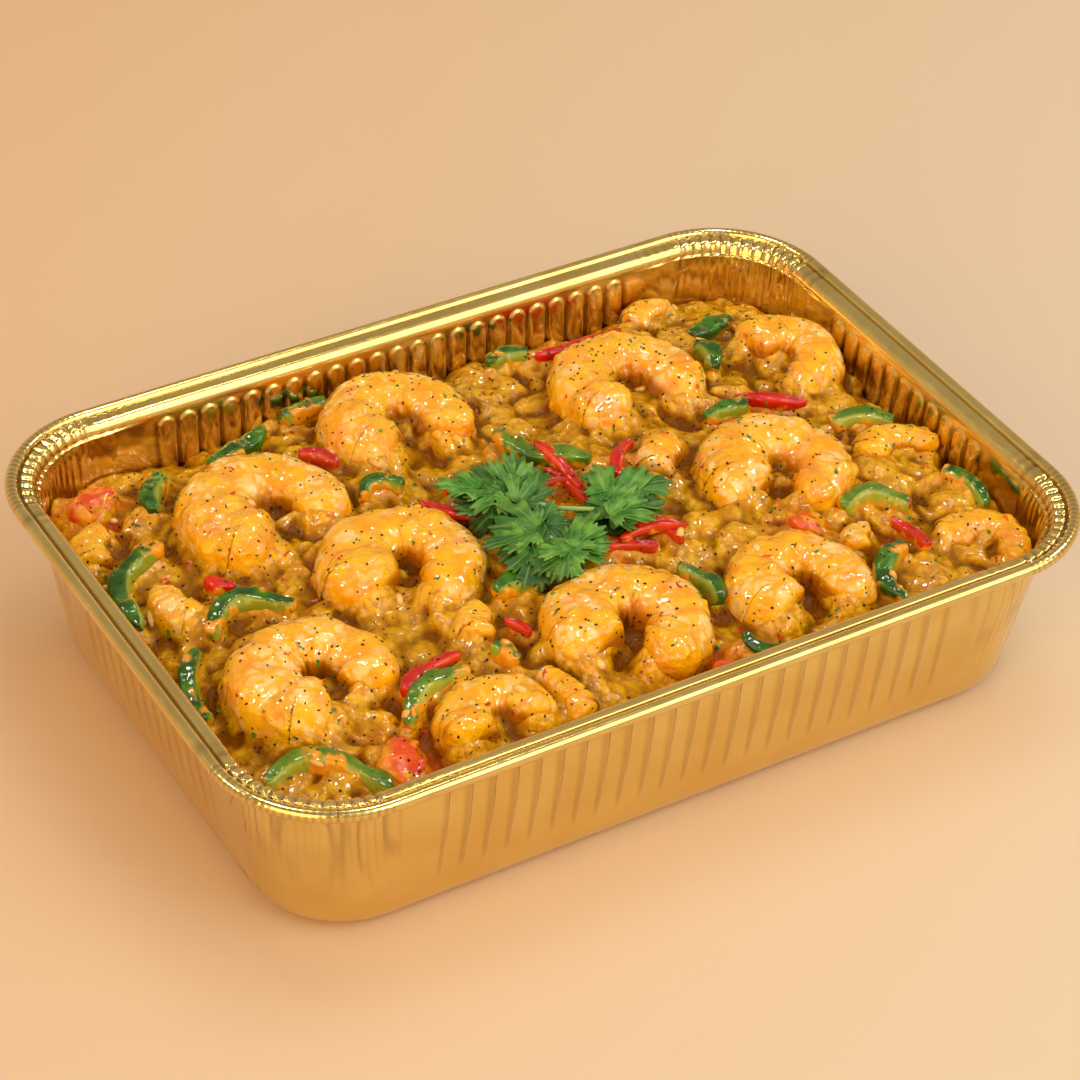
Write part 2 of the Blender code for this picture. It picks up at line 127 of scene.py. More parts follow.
# The sauce
FOOD_EDGE_LEVEL = 31.5
FOOD_CROWN = 5.5
SAUCE_LUMPS = [
    (0.7, 0.23, 0.27, 1.3, 0.4),
    (0.7, 0.12, 0.16, 2.1, 1.0),
]
SAUCE_CELL = 0.5
SAUCE_LIFT = -0.3
SAUCE_INSET = 0.7
EDGE_DIP = 2.2
EDGE_REACH = 9.0
EDGE_FIT = 4.0
FLOOR_GAP = 0.4
SINK = 0.3
FILLET = 1.0

# How far noise bends the sauce's lumps: size, reach and the seeds for both directions
SAUCE_BENDS = [(6.0, 2.2, 51, 53), (2.2, 0.7, 52, 54)]

# The sauce's lumps: spacing, lowest and highest, seed and how much they keep to the grainy areas
SAUCE_DOMES = [
    (12.0, 0.0, 3.6, 61, 0.0),
    (6.0, 0.3, 2.6, 62, 0.0),
    (3.0, 0.1, 1.1, 63, 0.65),
    (1.7, 0.0, 0.5, 64, 1.0),
]

# How a prawn's body runs from its thick end to its tail
PRAWN_INWARD = 0.15
PRAWN_BLUNTNESS = 3.4
PRAWN_FIRST_RING = 0.62
PRAWN_TAIL_LOSS = 0.3
PRAWN_FLATNESS = 0.95
HEAD_ROUNDING = 0.05
TAIL_ROUNDING = 0.08
FULLNESS = 0.86
BAND_EDGES = [0.0, 0.17, 0.33, 0.48, 0.62, 0.75, 0.87, 1.0]
BAND_DEPTH = 0.6
LARGE_PRAWN = 17.0
PRAWN_RINGS = 180
PRAWN_SIDES = 64
SUNK_RINGS = 70
SUNK_SIDES = 32
SUNK_COATING = 0.35

# The wet film's waves and the prawns' patches of bare flesh
FILM_WAVE = 0.5
PATCH = 4.6

# How much the cut strips narrow to their ends, how many rings they have and how they stand up
PEPPER_TAPER = 0.35
CHILLI_TAPER = 0.55
STRIP_RINGS = 50
STRIP_SIDES = 28
TOMATO_RINGS = 30
PEPPER_LIFT = 1.2
CHILLI_LIFT = 0.9
SHRED_RISE = 2.2

# A height over everything, from which the food's top is looked for, and one that never wins
ABOVE_ALL = 80.0
BELOW_ALL = -1000.0

# How far the strips, the tomato and the leaflets stay clear of what is under them
STRIP_CLEARANCE = 0.3
TOMATO_CLEARANCE = 0.4
LEAF_CLEARANCE = 0.25

# The first random seed of each kind
LEAF_SEED = 200
PRAWN_SEED = 300
SUNK_SEED = 500
PEPPER_SEED = 700
CHILLI_SEED = 900
TOMATO_SEED = 1000
SHRED_SEED = 1100

# How the cut strips look: squareness, unevenness, how bare of sauce, lean, pale flesh and middle groove
PEPPER_LOOK = {"squareness": 0.7, "uneven": 0.7, "bare": 0.0, "lean": 0.3, "flesh": 0.9, "gutter": 0.25}
CHILLI_LOOK = {"squareness": 0.75, "uneven": 0.5, "bare": 0.5, "lean": 0.0, "flesh": 0.5, "gutter": 0.5}
TOMATO_LOOK = {"squareness": 0.9, "uneven": 2.0, "bare": -0.2, "lean": 0.0, "flesh": 0.6, "gutter": 0.0}

# Curled prawns: centre, outer radius, angle of the thick end, sweep to the tail, body width and rise
PRAWNS = [
    (-55, 30, 20.0, 255, -300, 18.0, 7.6),
    (-37, -1, 19.0, 215, -305, 17.0, 7.8),
    (-72, -25, 19.0, 265, -310, 17.0, 7.6),
    (-13, 44.5, 18.5, 238, -290, 16.5, 7.8),
    (42.5, 32.5, 19.0, 238, -290, 16.5, 7.8),
    (56, -10, 19.0, 212, -310, 17.0, 7.6),
    (-4, -42, 19.0, 205, -305, 17.0, 7.6),
    (37, -47.5, 17.0, 225, -280, 15.5, 7.2),
    (-43, -54.5, 13.5, 200, -225, 12.0, 5.6),
    (83, 27, 15.0, 125, -240, 13.0, 6.4),
]

# Prawns that lie deeper: centre, outer radius, start angle, sweep, body width and rise
SUNK_PRAWNS = [
    (-88, 38, 10.5, 200, -120, 9.5, 3.6),
    (-80, 13, 11.0, 240, -110, 9.5, 3.8),
    (39, 0, 13.0, 170, -95, 9.5, 4.4),
    (84.5, -52, 11.5, 150, -230, 9.5, 4.6),
    (87, -17, 11.5, 160, -170, 9.0, 4.0),
    (-29, -28, 9.0, 190, -110, 8.5, 4.2),
    (-45, -53, 24.0, -24, 50, 7.0, 3.6),
    (60, -42, 7.0, 190, -140, 6.5, 3.4),
    (66, 56, 9.5, 160, -130, 8.0, 3.0),
]

# Green pepper strips: start, middle, end, width and rise
PEPPERS = [
    ((-80, 29), (-92, 25), (-94.5, 10), 4.2, 3.0),
    ((-83, -2), (-74, 6), (-65, -4), 4.0, 2.8),
    ((-88, -5), (-94, -12), (-95, -24), 3.8, 2.8),
    ((-94, -48), (-82, -47), (-73, -62), 4.2, 3.0),
    ((-74.5, 43.5), (-73, 50), (-67, 55.5), 4.6, 2.8),
    ((-58, 53), (-49, 55), (-40, 60), 4.4, 2.8),
    ((-33.5, 22), (-29.5, 25.5), (-23.5, 22), 3.6, 2.8),
    ((6, 30), (9, 19), (20, 12), 5.2, 3.2),
    ((-24, -22), (-19, -20), (-14, -22), 3.8, 2.6),
    ((-33.5, -34.5), (-32, -38), (-31.5, -41.5), 3.6, 2.6),
    ((-60.5, -47.5), (-53, -41), (-41, -38.7), 3.8, 2.6),
    ((15, -32), (19, -38), (18, -44), 3.8, 3.0),
    ((18, -57), (18, -60), (24, -63), 3.6, 2.6),
    ((52, 12), (58, 14), (63, 12), 4.0, 2.8),
    ((64, 30), (67, 35), (65, 40), 4.6, 3.2),
    ((68, 46), (75, 47), (81, 48), 4.6, 2.8),
    ((78, -1), (87, -1), (92, -6), 4.4, 3.0),
    ((61, -31.5), (69.5, -29), (75, -36), 4.2, 3.2),
    ((57, -62), (57, -52), (66, -48), 4.2, 3.2),
    ((91, -27), (94, -34), (92, -41.5), 3.8, 2.8),
    ((-34, 62), (-27.5, 63.4), (-21, 63.6), 3.8, 2.6),
    ((19, 56), (24, 58), (29, 56), 4.6, 2.8),
]

# The strips among them with a paler skin
PALE_PEPPERS = (3, 7, 10, 16, 17)

# Red chilli strips: start, middle, end, width and rise
CHILLIES = [
    ((30, 54.5), (43, 54.5), (55, 55.5), 3.4, 2.6),
    ((-38, 46), (-34, 43), (-32, 38), 3.6, 2.8),
    ((22.5, 3), (25, 9), (32, 13.6), 3.0, 2.6),
    ((62, 17), (70, 12), (78, 9), 3.2, 3.0),
    ((69.5, -37), (71, -43), (70.5, -50), 3.0, 2.8),
    ((-57.5, -40), (-51.5, -36), (-41, -34.5), 3.2, 3.0),
    ((-26.5, -28), (-24.5, -30.5), (-24, -34.5), 2.8, 2.4),
    ((-76, 16), (-75, 13), (-72, 10), 3.4, 2.6),
    ((8, 13), (11, 4), (9, -8), 2.6, 2.4),
    ((14, -9), (19, -15), (22, -24), 2.6, 2.4),
    ((-4, -19), (7, -18), (16, -23), 2.6, 2.4),
    ((-16, 17), (-13, 11), (-12, 4), 2.6, 2.4),
]

# Thin shreds of chilli between the larger ones, too fine for the solids
SHREDS = [
    ((-23.5, 14.8), (-20.6, 9.3), (-15.6, 3.5), 2.4, 2.2),
    ((9.5, 21.5), (11.2, 12.5), (11.3, 2.5), 2.4, 2.2),
    ((-0.2, 5.6), (5.6, 6.5), (11.3, 6.7), 2.2, 2.0),
    ((12.7, -9.2), (15.1, -15.2), (20.7, -19.8), 2.2, 2.0),
    ((13.8, -9.0), (18.8, -10.9), (22.2, -12.7), 2.2, 2.0),
    ((9.0, -18.5), (16.5, -17.2), (24.5, -21.8), 2.4, 2.2),
]

# Tomato pieces: centre, length, width, turn and rise
TOMATOES = [
    (-86, 54, 13.0, 9.0, 20, 3.6),
    (-66, -56, 12.0, 9.0, 70, 3.6),
    (50.5, -30.5, 9.0, 6.5, 0, 3.0),
    (9, -63, 8.0, 5.0, 10, 2.8),
]

# The sprig of parsley: stems through three points, then leaflets as base, direction, length and tilt
STEM_RADIUS = 0.65
STEM_RINGS = 14
STEM_SIDES = 10
STEM_PALENESS = 0.75
STEMS = [
    ((2, -2, 40.6), (-5, 4, 41.6), (-12, 9, 42.6)),
    ((2, -2, 40.6), (-4, -8, 41.6), (-7, -20, 43.4)),
    ((2, -2, 40.6), (8, -7, 41.6), (12, -10, 42.6)),
]
LEAFLETS = [
    ((-12, 9, 43.6), 140, 10.0, 6),
    ((-8, 6, 43.0), 70, 12.0, 6),
    ((-8, 6.5, 43.1), 208, 10.5, 4),
    ((-2, 1.5, 42.2), 95, 13.0, 8),
    ((-7, -14, 43.4), 238, 11.0, 4),
    ((-4.5, -9, 42.6), 305, 12.0, 6),
    ((-4.5, -9, 42.6), 178, 12.0, 4),
    ((19, -7, 43.4), 0, 11.0, 4),
    ((14, -5.3, 43.0), 62, 12.0, 6),
    ((14, -5.3, 43.0), 295, 10.0, 4),
]

# The lobes of a leaflet: direction, size and half width, both angles in degrees
LOBES = [(0, 1.0, 21), (43, 0.88, 20), (-43, 0.88, 20), (84, 0.5, 17), (-84, 0.5, 17)]
LEAF_SAMPLES = 131
LEAF_RINGS = 6
LEAF_THICKNESS = 0.22
LEAF_TOP = 45.7
LEAF_MARGIN = 0.8
UNDER_LEAF_SHARE = 0.3

# Smaller leaflets of the same sprig, from base to tip
SMALL_LEAVES = [
    ((-3.8, 6.0, 40.5), (2.8, 16.5, 45.2)),
    ((-4.2, 7.9, 40.5), (4.4, 11.6, 45.2)),
    ((-5.3, 8.4, 40.0), (-7.2, 18.5, 45.0)),
    ((-7.1, 7.1, 41.0), (-13.7, 15.7, 44.6)),
    ((-8.2, 6.1, 41.5), (-17.9, 13.9, 43.2)),
    ((-8.8, 3.5, 43.0), (-17.5, 8.0, 42.0)),
    ((-8.0, 2.2, 43.0), (-17.5, 1.9, 40.8)),
    ((-6.5, 1.4, 42.5), (1.3, 4.7, 45.0)),
    ((-7.4, -10.0, 44.2), (-16.8, -1.8, 43.6)),
    ((-8.6, -11.2, 44.4), (-20.8, -7.2, 42.4)),
    ((-10.6, -10.5, 43.6), (-19.4, -12.3, 40.6)),
    ((-11.5, -12.9, 43.4), (-18.0, -15.8, 40.4)),
    ((-12.3, -15.8, 43.6), (-18.4, -22.7, 40.4)),
    ((-11.4, -16.7, 43.4), (-15.0, -23.1, 40.2)),
    ((-7.1, -4.6, 42.5), (-8.9, -0.9, 44.4)),
    ((-4.5, -6.9, 42.0), (-0.5, -4.2, 45.2)),
    ((-4.4, -7.7, 41.5), (1.6, -6.5, 44.4)),
    ((-4.0, -11.1, 41.5), (-4.8, -4.0, 43.4)),
    ((-6.2, -21.0, 45.0), (-11.6, -14.5, 44.6)),
    ((-6.7, -21.4, 45.2), (-14.9, -20.9, 43.0)),
    ((-6.7, -21.4, 45.2), (-13.1, -25.5, 42.0)),
    ((-6.5, -21.0, 45.0), (-8.2, -26.2, 42.5)),
    ((-4.5, -19.1, 43.0), (3.7, -10.4, 45.5)),
    ((-4.1, -19.3, 43.5), (6.0, -18.8, 44.8)),
    ((-4.8, -20.4, 44.0), (4.0, -21.4, 43.6)),
    ((-3.4, -17.4, 42.5), (-1.8, -12.1, 44.6)),
    ((8.5, -11.8, 42.0), (14.4, -1.0, 45.5)),
    ((8.8, -11.6, 42.0), (19.4, -3.7, 45.5)),
    ((11.4, -10.0, 42.0), (24.1, -3.5, 45.4)),
    ((9.4, -12.2, 42.5), (20.8, -12.0, 44.8)),
    ((9.4, -12.6, 43.0), (17.3, -15.2, 43.2)),
    ((-6.2, 0.2, 41.0), (-6.6, -10.5, 41.0)),
    ((-8.5, 3.8, 41.0), (-7.8, -5.9, 41.5)),
]

# Small bits on the food: crushed pepper, herbs, chilli and onion, with sizes in millimetres.
# The finish is its name, two colours, the roughness and how deep light goes in.
BITS = [
    {
        "name": "pepper_specks",
        "shape": "grit",
        "count": 2000,
        "smallest": (0.16, 0.16, 0.13),
        "largest": (0.5, 0.44, 0.34),
        "lean": 0.6,
        "slot": "curry_sauce",
        "finish": ("crushed black pepper", "120A03", "3E2208", 0.5, 0),
    },
    {
        "name": "herb_flecks",
        "shape": "flake",
        "count": 260,
        "smallest": (0.4, 0.3, 0.4),
        "largest": (1.1, 0.8, 0.9),
        "lean": 0.4,
        "slot": "parsley",
        "finish": ("chopped herbs", "1F5A14", "4E8F22", 0.35, 0),
    },
    {
        "name": "chilli_flakes",
        "shape": "flake",
        "count": 150,
        "smallest": (0.5, 0.4, 0.5),
        "largest": (1.3, 0.9, 1.0),
        "lean": 0.4,
        "slot": "red_chilli",
        "finish": ("chilli flakes", "B0200A", "E0601A", 0.25, 0),
    },
    {
        "name": "onion_bits",
        "shape": "lump",
        "count": 40,
        "smallest": (0.9, 0.6, 0.4),
        "largest": (2.2, 1.3, 0.9),
        "lean": 0.4,
        "slot": "curry_sauce",
        "finish": ("soft onion", "E0A840", "EFC878", 0.15, 1.5),
    },
]

# The camera: its lens, where it looks and from where
LENS = 113.28
CAMERA_AZIMUTH = -32.3132
CAMERA_ELEVATION = 38.2417
CAMERA_DISTANCE = 817.6
CAMERA_TARGET = (20.5, 33.3, 0.0)
CAMERA_ROLL = 2.6282

# Soft light: name, place, width, power and colour
SOFT_LAMPS = [
    ("key", (0.75, -0.95, 0.95), 1.2, 8.2, "FFF8F0"),
    ("fill", (0.3, -1.2, 1.1), 1.4, 3.4, "FFF0DC"),
    ("left fill", (-1.1, -0.7, 0.6), 1.0, 12.5, "FFCC92"),
]

# Small lamps that show only as glints on the wet food and the foil
GLINT_LAMPS = [
    (-0.9, 0.5, 0.9),
    (-0.2, 0.3, 1.1),
    (0.95, 0.0, 0.85),
    (0.2, -0.9, 0.9),
    (0.3, 0.2, 1.3),
]
GLINT_WIDTH = 0.15
GLINT_POWER = 3.4

# Sockets of the Mix node when it mixes colours
MIX_FIRST = 6
MIX_SECOND = 7
MIX_COLOUR = 2


def mm(x, y, z):
    return Vector((x, y, z)) * 0.001


def srgb(code):
    """A hex colour as the linear values that shaders take."""
    values = [int(code[i : i + 2], 16) / 255 for i in (0, 2, 4)]
    return [v / 12.92 if v <= 0.04045 else ((v + 0.055) / 1.055) ** 2.4 for v in values] + [1.0]


def smooth(share):
    """An even rise from 0 to 1 as the share goes from 0 to 1."""
    held = np.clip(share, 0.0, 1.0)
    return held * held * (3 - 2 * held)


def chance(ix, iy, iz, seed):
    """A repeatable number from 0 to 1 for each whole-numbered place."""
    mixed = (ix * 374761393 + iy * 668265263 + iz * 1440662683 + seed * 974711) & 0xFFFFFFFF
    mixed = ((mixed ^ (mixed >> 13)) * 1274126177) & 0xFFFFFFFF
    return ((mixed ^ (mixed >> 16)) & 0xFFFF) / 65535.0


def soft_noise(points, size, seed):
    """Smooth noise from -1 to 1 over points in millimetres, with lumps of about the given size."""
    scaled = np.asarray(points, float) / size
    whole = np.floor(scaled).astype(np.int64)
    part = scaled - whole
    ease = part * part * (3 - 2 * part)
    total = np.zeros(scaled.shape[:-1])
    for corner in np.ndindex(2, 2, 2):
        weight = np.ones(total.shape)
        for axis in range(3):
            weight = weight * (ease[..., axis] if corner[axis] else 1 - ease[..., axis])
        place = [whole[..., axis] + corner[axis] for axis in range(3)]
        total += weight * chance(*place, seed)
    return total * 2 - 1


def domes(x, y, spacing, low, high, seed):
    """Rounded lumps, one in each cell of the spacing, each of its own size. The highest wins."""
    column = np.floor(x / spacing).astype(np.int64)
    row = np.floor(y / spacing).astype(np.int64)
    best = np.zeros(x.shape)
    for step_x, step_y in np.ndindex(3, 3):
        cell_x = column + step_x - 1
        cell_y = row + step_y - 1
        centre_x = (cell_x + chance(cell_x, cell_y, 1, seed)) * spacing
        centre_y = (cell_y + chance(cell_x, cell_y, 2, seed)) * spacing
        radius = spacing * (0.55 + 0.4 * chance(cell_x, cell_y, 3, seed))
        height = low + (high - low) * chance(cell_x, cell_y, 4, seed)
        share = ((x - centre_x) ** 2 + (y - centre_y) ** 2) / radius**2
        best = np.maximum(best, height * np.sqrt(np.clip(1 - share, 0, 1)))
    return best


def blur(field, reach):
    """The field evened out by a bell curve that is reach samples wide."""
    half = int(math.ceil(3 * reach))
    bell = np.exp(-0.5 * (np.arange(-half, half + 1) / reach) ** 2)
    bell /= bell.sum()
    for axis in (0, 1):
        edges = [(half, half) if i == axis else (0, 0) for i in (0, 1)]
        padded = np.pad(field, edges, mode="edge")
        size = field.shape[axis]
        parts = [np.take(padded, range(i, i + size), axis=axis) * share for i, share in enumerate(bell)]
        field = sum(parts)
    return field


def add_node(tree, kind, inputs=None, **settings):
    """Adds a node with its settings. Each input is a value or the output that is linked to it."""
    made = tree.nodes.new(kind)
    for name, value in settings.items():
        setattr(made, name, value)
    for key, value in (inputs or {}).items():
        socket = made.inputs[key]
        if isinstance(value, bpy.types.NodeSocket):
            tree.links.new(value, socket)
        else:
            socket.default_value = value
    return made


def add_piece(name, points, faces, finish, attributes=None, replaced=()):
    """A mesh piece from points in millimetres, which moves with the tray and may stand for solids."""
    mesh = bpy.data.meshes.new(name)
    mesh.from_pydata((np.asarray(points) * 0.001).tolist(), [], faces)
    for label, values in (attributes or {}).items():
        layer = mesh.attributes.new(label, "FLOAT", "POINT")
        layer.data.foreach_set("value", np.ascontiguousarray(values, np.float32).ravel())
    bm = bmesh.new()
    bm.from_mesh(mesh)
    bmesh.ops.recalc_face_normals(bm, faces=bm.faces)
    bm.to_mesh(mesh)
    bm.free()
    mesh.shade_smooth()
    mesh.materials.append(finish)
    made = bpy.data.objects.new(name, mesh)
    bpy.context.scene.collection.objects.link(made)
    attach(made, "root")
    if replaced:
        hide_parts(*replaced)
    return made


def settle_modifiers(piece):
    """Makes the piece's modifiers part of its mesh."""
    bpy.context.view_layer.update()
    evaluated = piece.evaluated_get(bpy.context.evaluated_depsgraph_get())
    mesh = bpy.data.meshes.new_from_object(evaluated)
    piece.modifiers.clear()
    old = piece.data
    piece.data = mesh
    bpy.data.meshes.remove(old)
    mesh.name = piece.name


def grid_faces(rows, columns):
    """Quads between the points of a grid that is written row by row."""
    first = (np.arange(rows - 1)[:, None] * columns + np.arange(columns - 1)[None, :]).ravel()
    return np.stack([first, first + 1, first + columns + 1, first + columns], -1)


def band_faces(rings, sides, first=0):
    """Quads between closed rings that are written one after another."""
    ring = np.arange(rings - 1)[:, None] * sides + first
    side = np.arange(sides)[None, :]
    following = (side + 1) % sides
    corners = [ring + side, ring + following, ring + sides + following, ring + sides + side]
    return np.stack(corners, -1).reshape(-1, 4)


def tube_mesh(rings):
    """Points and faces of a closed tube from its rings, with a point in the middle of each end."""
    count, sides = rings.shape[:2]
    ends = np.stack([rings[0].mean(0), rings[-1].mean(0)])
    points = np.concatenate([rings.reshape(-1, 3), ends])
    faces = band_faces(count, sides).tolist()
    start = count * sides
    last = start - sides
    for i in range(sides):
        j = (i + 1) % sides
        faces.append((start, j, i))
        faces.append((start + 1, last + i, last + j))
    return points, faces


def ring_shape(sides, power):
    """Across and up for each point of a ring: round with a power of 1, squarer the lower it is."""
    angle = np.linspace(0, 2 * np.pi, sides, endpoint=False)
    across, up = [np.sign(wave) * np.abs(wave) ** power for wave in (np.cos(angle), np.sin(angle))]
    return across[None, :], up[None, :]


def through_three(spots, t):
    """Places on the smooth curve through a start, a middle and an end."""
    weights = np.stack([(1 - t) * (1 - 2 * t), 4 * t * (1 - t), t * (2 * t - 1)], -1)
    return weights @ np.array(spots, float)


def joined(parts):
    """The points and faces of several meshes as those of one."""
    faces = []
    first = 0
    for points, own_faces in parts:
        faces.extend([i + first for i in face] for face in own_faces)
        first += len(points)
    return np.concatenate([points for points, own_faces in parts]), faces


def end_padded(values):
    """One more value for each of a tube's two end points."""
    return np.concatenate([values.reshape(-1), [values[0].mean(), values[-1].mean()]])


# Materials


def new_material(name):
    made = bpy.data.materials.new(name)
    made.use_nodes = True
    return made, made.node_tree, made.node_tree.nodes["Principled BSDF"]


def set_shader(tree, shader, inputs):
    for key, value in inputs.items():
        if isinstance(value, bpy.types.NodeSocket):
            tree.links.new(value, shader.inputs[key])
        else:
            shader.inputs[key].default_value = value


def pattern(tree, size, detail=2.0, stretch=(1, 1, 1)):
    """Noise over Object coordinates with lumps of the given size in millimetres."""
    place = add_node(tree, "ShaderNodeTexCoord").outputs["Object"]
    if stretch != (1, 1, 1):
        place = add_node(tree, "ShaderNodeMapping", {"Vector": place, "Scale": stretch}).outputs["Vector"]
    inputs = {"Vector": place, "Scale": 1000 / size, "Detail": detail}
    return add_node(tree, "ShaderNodeTexNoise", inputs).outputs["Fac"]


def between(tree, value, low, high, to_low=0.0, to_high=1.0):
    inputs = {"Value": value, "From Min": low, "From Max": high, "To Min": to_low, "To Max": to_high}
    return add_node(tree, "ShaderNodeMapRange", inputs).outputs["Result"]


def mixed(tree, share, first, second):
    """The second colour over the first by the share. Each is a hex colour or an output."""
    first, second = [srgb(colour) if isinstance(colour, str) else colour for colour in (first, second)]
    inputs = {0: share, MIX_FIRST: first, MIX_SECOND: second}
    return add_node(tree, "ShaderNodeMix", inputs, data_type="RGBA").outputs[MIX_COLOUR]


def grains(tree, size, feature, output, place=None):
    """A pattern of cells of the given size in millimetres, over Object coordinates or the place given."""
    place = place or add_node(tree, "ShaderNodeTexCoord").outputs["Object"]
    inputs = {"Vector": place, "Scale": 1000 / size}
    return add_node(tree, "ShaderNodeTexVoronoi", inputs, feature=feature).outputs[output]


def drifted(tree, size, reach):
    """Object coordinates pushed about by noise, both in millimetres."""
    place = add_node(tree, "ShaderNodeTexCoord").outputs["Object"]
    inputs = {"Vector": place, "Scale": 1000 / size, "Detail": 0.0}
    noise = add_node(tree, "ShaderNodeTexNoise", inputs).outputs["Color"]
    centred = add_node(tree, "ShaderNodeVectorMath", {0: noise, 1: (0.5, 0.5, 0.5)}, operation="SUBTRACT")
    scaled = {0: centred.outputs[0], "Scale": reach * 0.002}
    pushed = add_node(tree, "ShaderNodeVectorMath", scaled, operation="SCALE").outputs[0]
    return add_node(tree, "ShaderNodeVectorMath", {0: place, 1: pushed}, operation="ADD").outputs[0]


def times(tree, first, second):
    return add_node(tree, "ShaderNodeMath", {0: first, 1: second}, operation="MULTIPLY").outputs[0]


def attribute(tree, name):
    return add_node(tree, "ShaderNodeAttribute", attribute_name=name).outputs["Fac"]


def bumps(tree, layers):
    """A normal from bump layers, as (height output, distance in millimetres, strength)."""
    normal = None
    for height, distance, strength in layers:
        inputs = {"Height": height, "Distance": distance * 0.001, "Strength": strength}
        if normal:
            inputs["Normal"] = normal
        normal = add_node(tree, "ShaderNodeBump", inputs).outputs["Normal"]
    return normal


def gold_foil_material():
    """Aluminium foil of 0.1 mm with a gold lacquer, cold pressed: bright, with a faint rolling grain, and
    painted shade in its creases.
    """
    made, tree, shader = new_material("gold lacquered foil")
    grain = pattern(tree, 0.5, 1.0, (0.15, 0.15, 1.0))
    wavy = pattern(tree, 14.0, 1.0)
    sheet = mixed(tree, between(tree, wavy, 0.35, 0.65), "E8CC74", "E2C062")
    # Painted shade: the slots, pleats, dents and the rim's channel turn dark brown.
    creased = between(tree, attribute(tree, "groove"), 0.1, 1.0, 0.0, 0.85)
    colour = mixed(tree, creased, sheet, "805414")
    rough = between(tree, grain, 0.3, 0.7, 0.15, 0.22)
    set_shader(tree, shader, {
        "Base Color": colour,
        "Metallic": 1.0,
        "Roughness": rough,
        "Coat Weight": 0.7,
        "Coat Roughness": 0.05,
        "Coat IOR": 1.8,
    })
    return made


def wet_gloss(tree, shader, colour, normal, rough, depth, share, film=0.8, shine=0.1):
    """A moist surface: light goes into it for the depth in millimetres, under a wavy wet film."""
    waves = bumps(tree, [(pattern(tree, 1.9, 0.0), FILM_WAVE, 1.0)])
    set_shader(tree, shader, {
        "Base Color": colour,
        "Roughness": rough,
        "IOR": 1.4,
        "Normal": normal,
        "Subsurface Weight": share,
        "Subsurface Radius": (1.0, 0.45, 0.15),
        "Subsurface Scale": depth * 0.001,
        "Specular IOR Level": shine,
        "Coat Weight": film,
        "Coat Roughness": 0.06,
        "Coat IOR": 1.5,
        "Coat Normal": waves,
    })


def sauce_colour(tree, height):
    """Golden curry: painted light makes the high parts bright, and the creases are deep amber, partly
    from the oil that lies in them and partly painted shade.
    """
    cloud = pattern(tree, 6.0, 1.0)
    fine = pattern(tree, 1.3, 1.0)
    crease = attribute(tree, "crease")
    base = mixed(tree, between(tree, cloud, 0.38, 0.62), "D09804", "E0AE06")
    # Painted light: the raised parts of the lumps turn paler gold.
    lit = mixed(tree, between(tree, crease, 0.0, -0.9, 0.0, 0.8), base, "F2B622")
    # Painted shade: the dents between the curds turn darker.
    dent_shaded = mixed(tree, between(tree, height, 0.45, 0.1, 0.0, 0.6), lit, "B07204")
    speckled = mixed(tree, between(tree, fine, 0.54, 0.7, 0.0, 0.45), dent_shaded, "C07004")
    # Painted shade, with the oil's own deeper colour: the creases turn deep amber.
    deep = mixed(tree, between(tree, crease, 0.0, 0.9), speckled, "7E4A00")
    return mixed(tree, attribute(tree, "stain"), deep, "DC4A10")


def curry_material():
    """Thick coconut curry with curds of its own: moist, with a wet film that breaks into small glints."""
    made, tree, shader = new_material("curry sauce")
    lumpy = grains(tree, 2.2, "F1", "Distance", drifted(tree, 2.5, 1.0))
    small = pattern(tree, 0.9, 1.0)
    height = between(tree, lumpy, 0.0, 0.8, 1.0, 0.0)
    normal = bumps(tree, [(height, 0.8, 0.6), (small, 0.4, 0.6)])
    # Painted shade on the reflection: the wet film thins in the creases.
    film = between(tree, attribute(tree, "crease"), -0.1, 0.4, 0.8, 0.05)
    wet_gloss(tree, shader, sauce_colour(tree, height), normal, 0.3, 0.8, 0.0, film, 0.08)
    return made


def prawn_material():
    """Cooked prawn: patches of pale bare flesh with a net of golden sauce between them, all of it wet."""
    made, tree, shader = new_material("cooked prawn")
    place = drifted(tree, 5.0, 1.4)
    edge = between(tree, grains(tree, PATCH, "DISTANCE_TO_EDGE", "Distance", place), 0.02, 0.16)
    shade = add_node(tree, "ShaderNodeSeparateColor", {0: grains(tree, PATCH, "F1", "Color", place)})
    chosen = between(tree, shade.outputs[0], 0.22, 0.4)
    torn = between(tree, pattern(tree, 2.0, 1.0), 0.36, 0.5)
    clean = between(tree, attribute(tree, "coat"), 0.0, 1.0, 1.0, 0.0)
    bare = times(tree, times(tree, times(tree, edge, chosen), torn), clean)
    muscle = pattern(tree, 2.5, 1.0)
    flesh = mixed(tree, between(tree, muscle, 0.35, 0.65), "FCDA94", "F4C05E")
    cloud = pattern(tree, 5.0, 1.0)
    gold = mixed(tree, between(tree, cloud, 0.38, 0.62), "F8BC0C", "EEA606")
    coated = mixed(tree, between(tree, bare, 0.0, 0.9), gold, flesh)
    tinted = mixed(tree, attribute(tree, "pink"), coated, "EC8422")
    # Partly the sauce's deeper colour and partly painted shade: dark amber in the inner cleft and on the
    # underside.
    sauced_and_shaded = mixed(tree, attribute(tree, "amber"), tinted, "A95C04")
    rough = between(tree, bare, 0.0, 1.0, 0.24, 0.32)
    lumpy = between(tree, attribute(tree, "coat"), 0.0, 1.0, 0.45, 1.0)
    wet = times(tree, pattern(tree, 1.5, 2.0), lumpy)
    normal = bumps(tree, [(wet, 1.0, 0.75)])
    wet_gloss(tree, shader, sauced_and_shaded, normal, rough, 2.0, 0.15, 1.0)
    return made


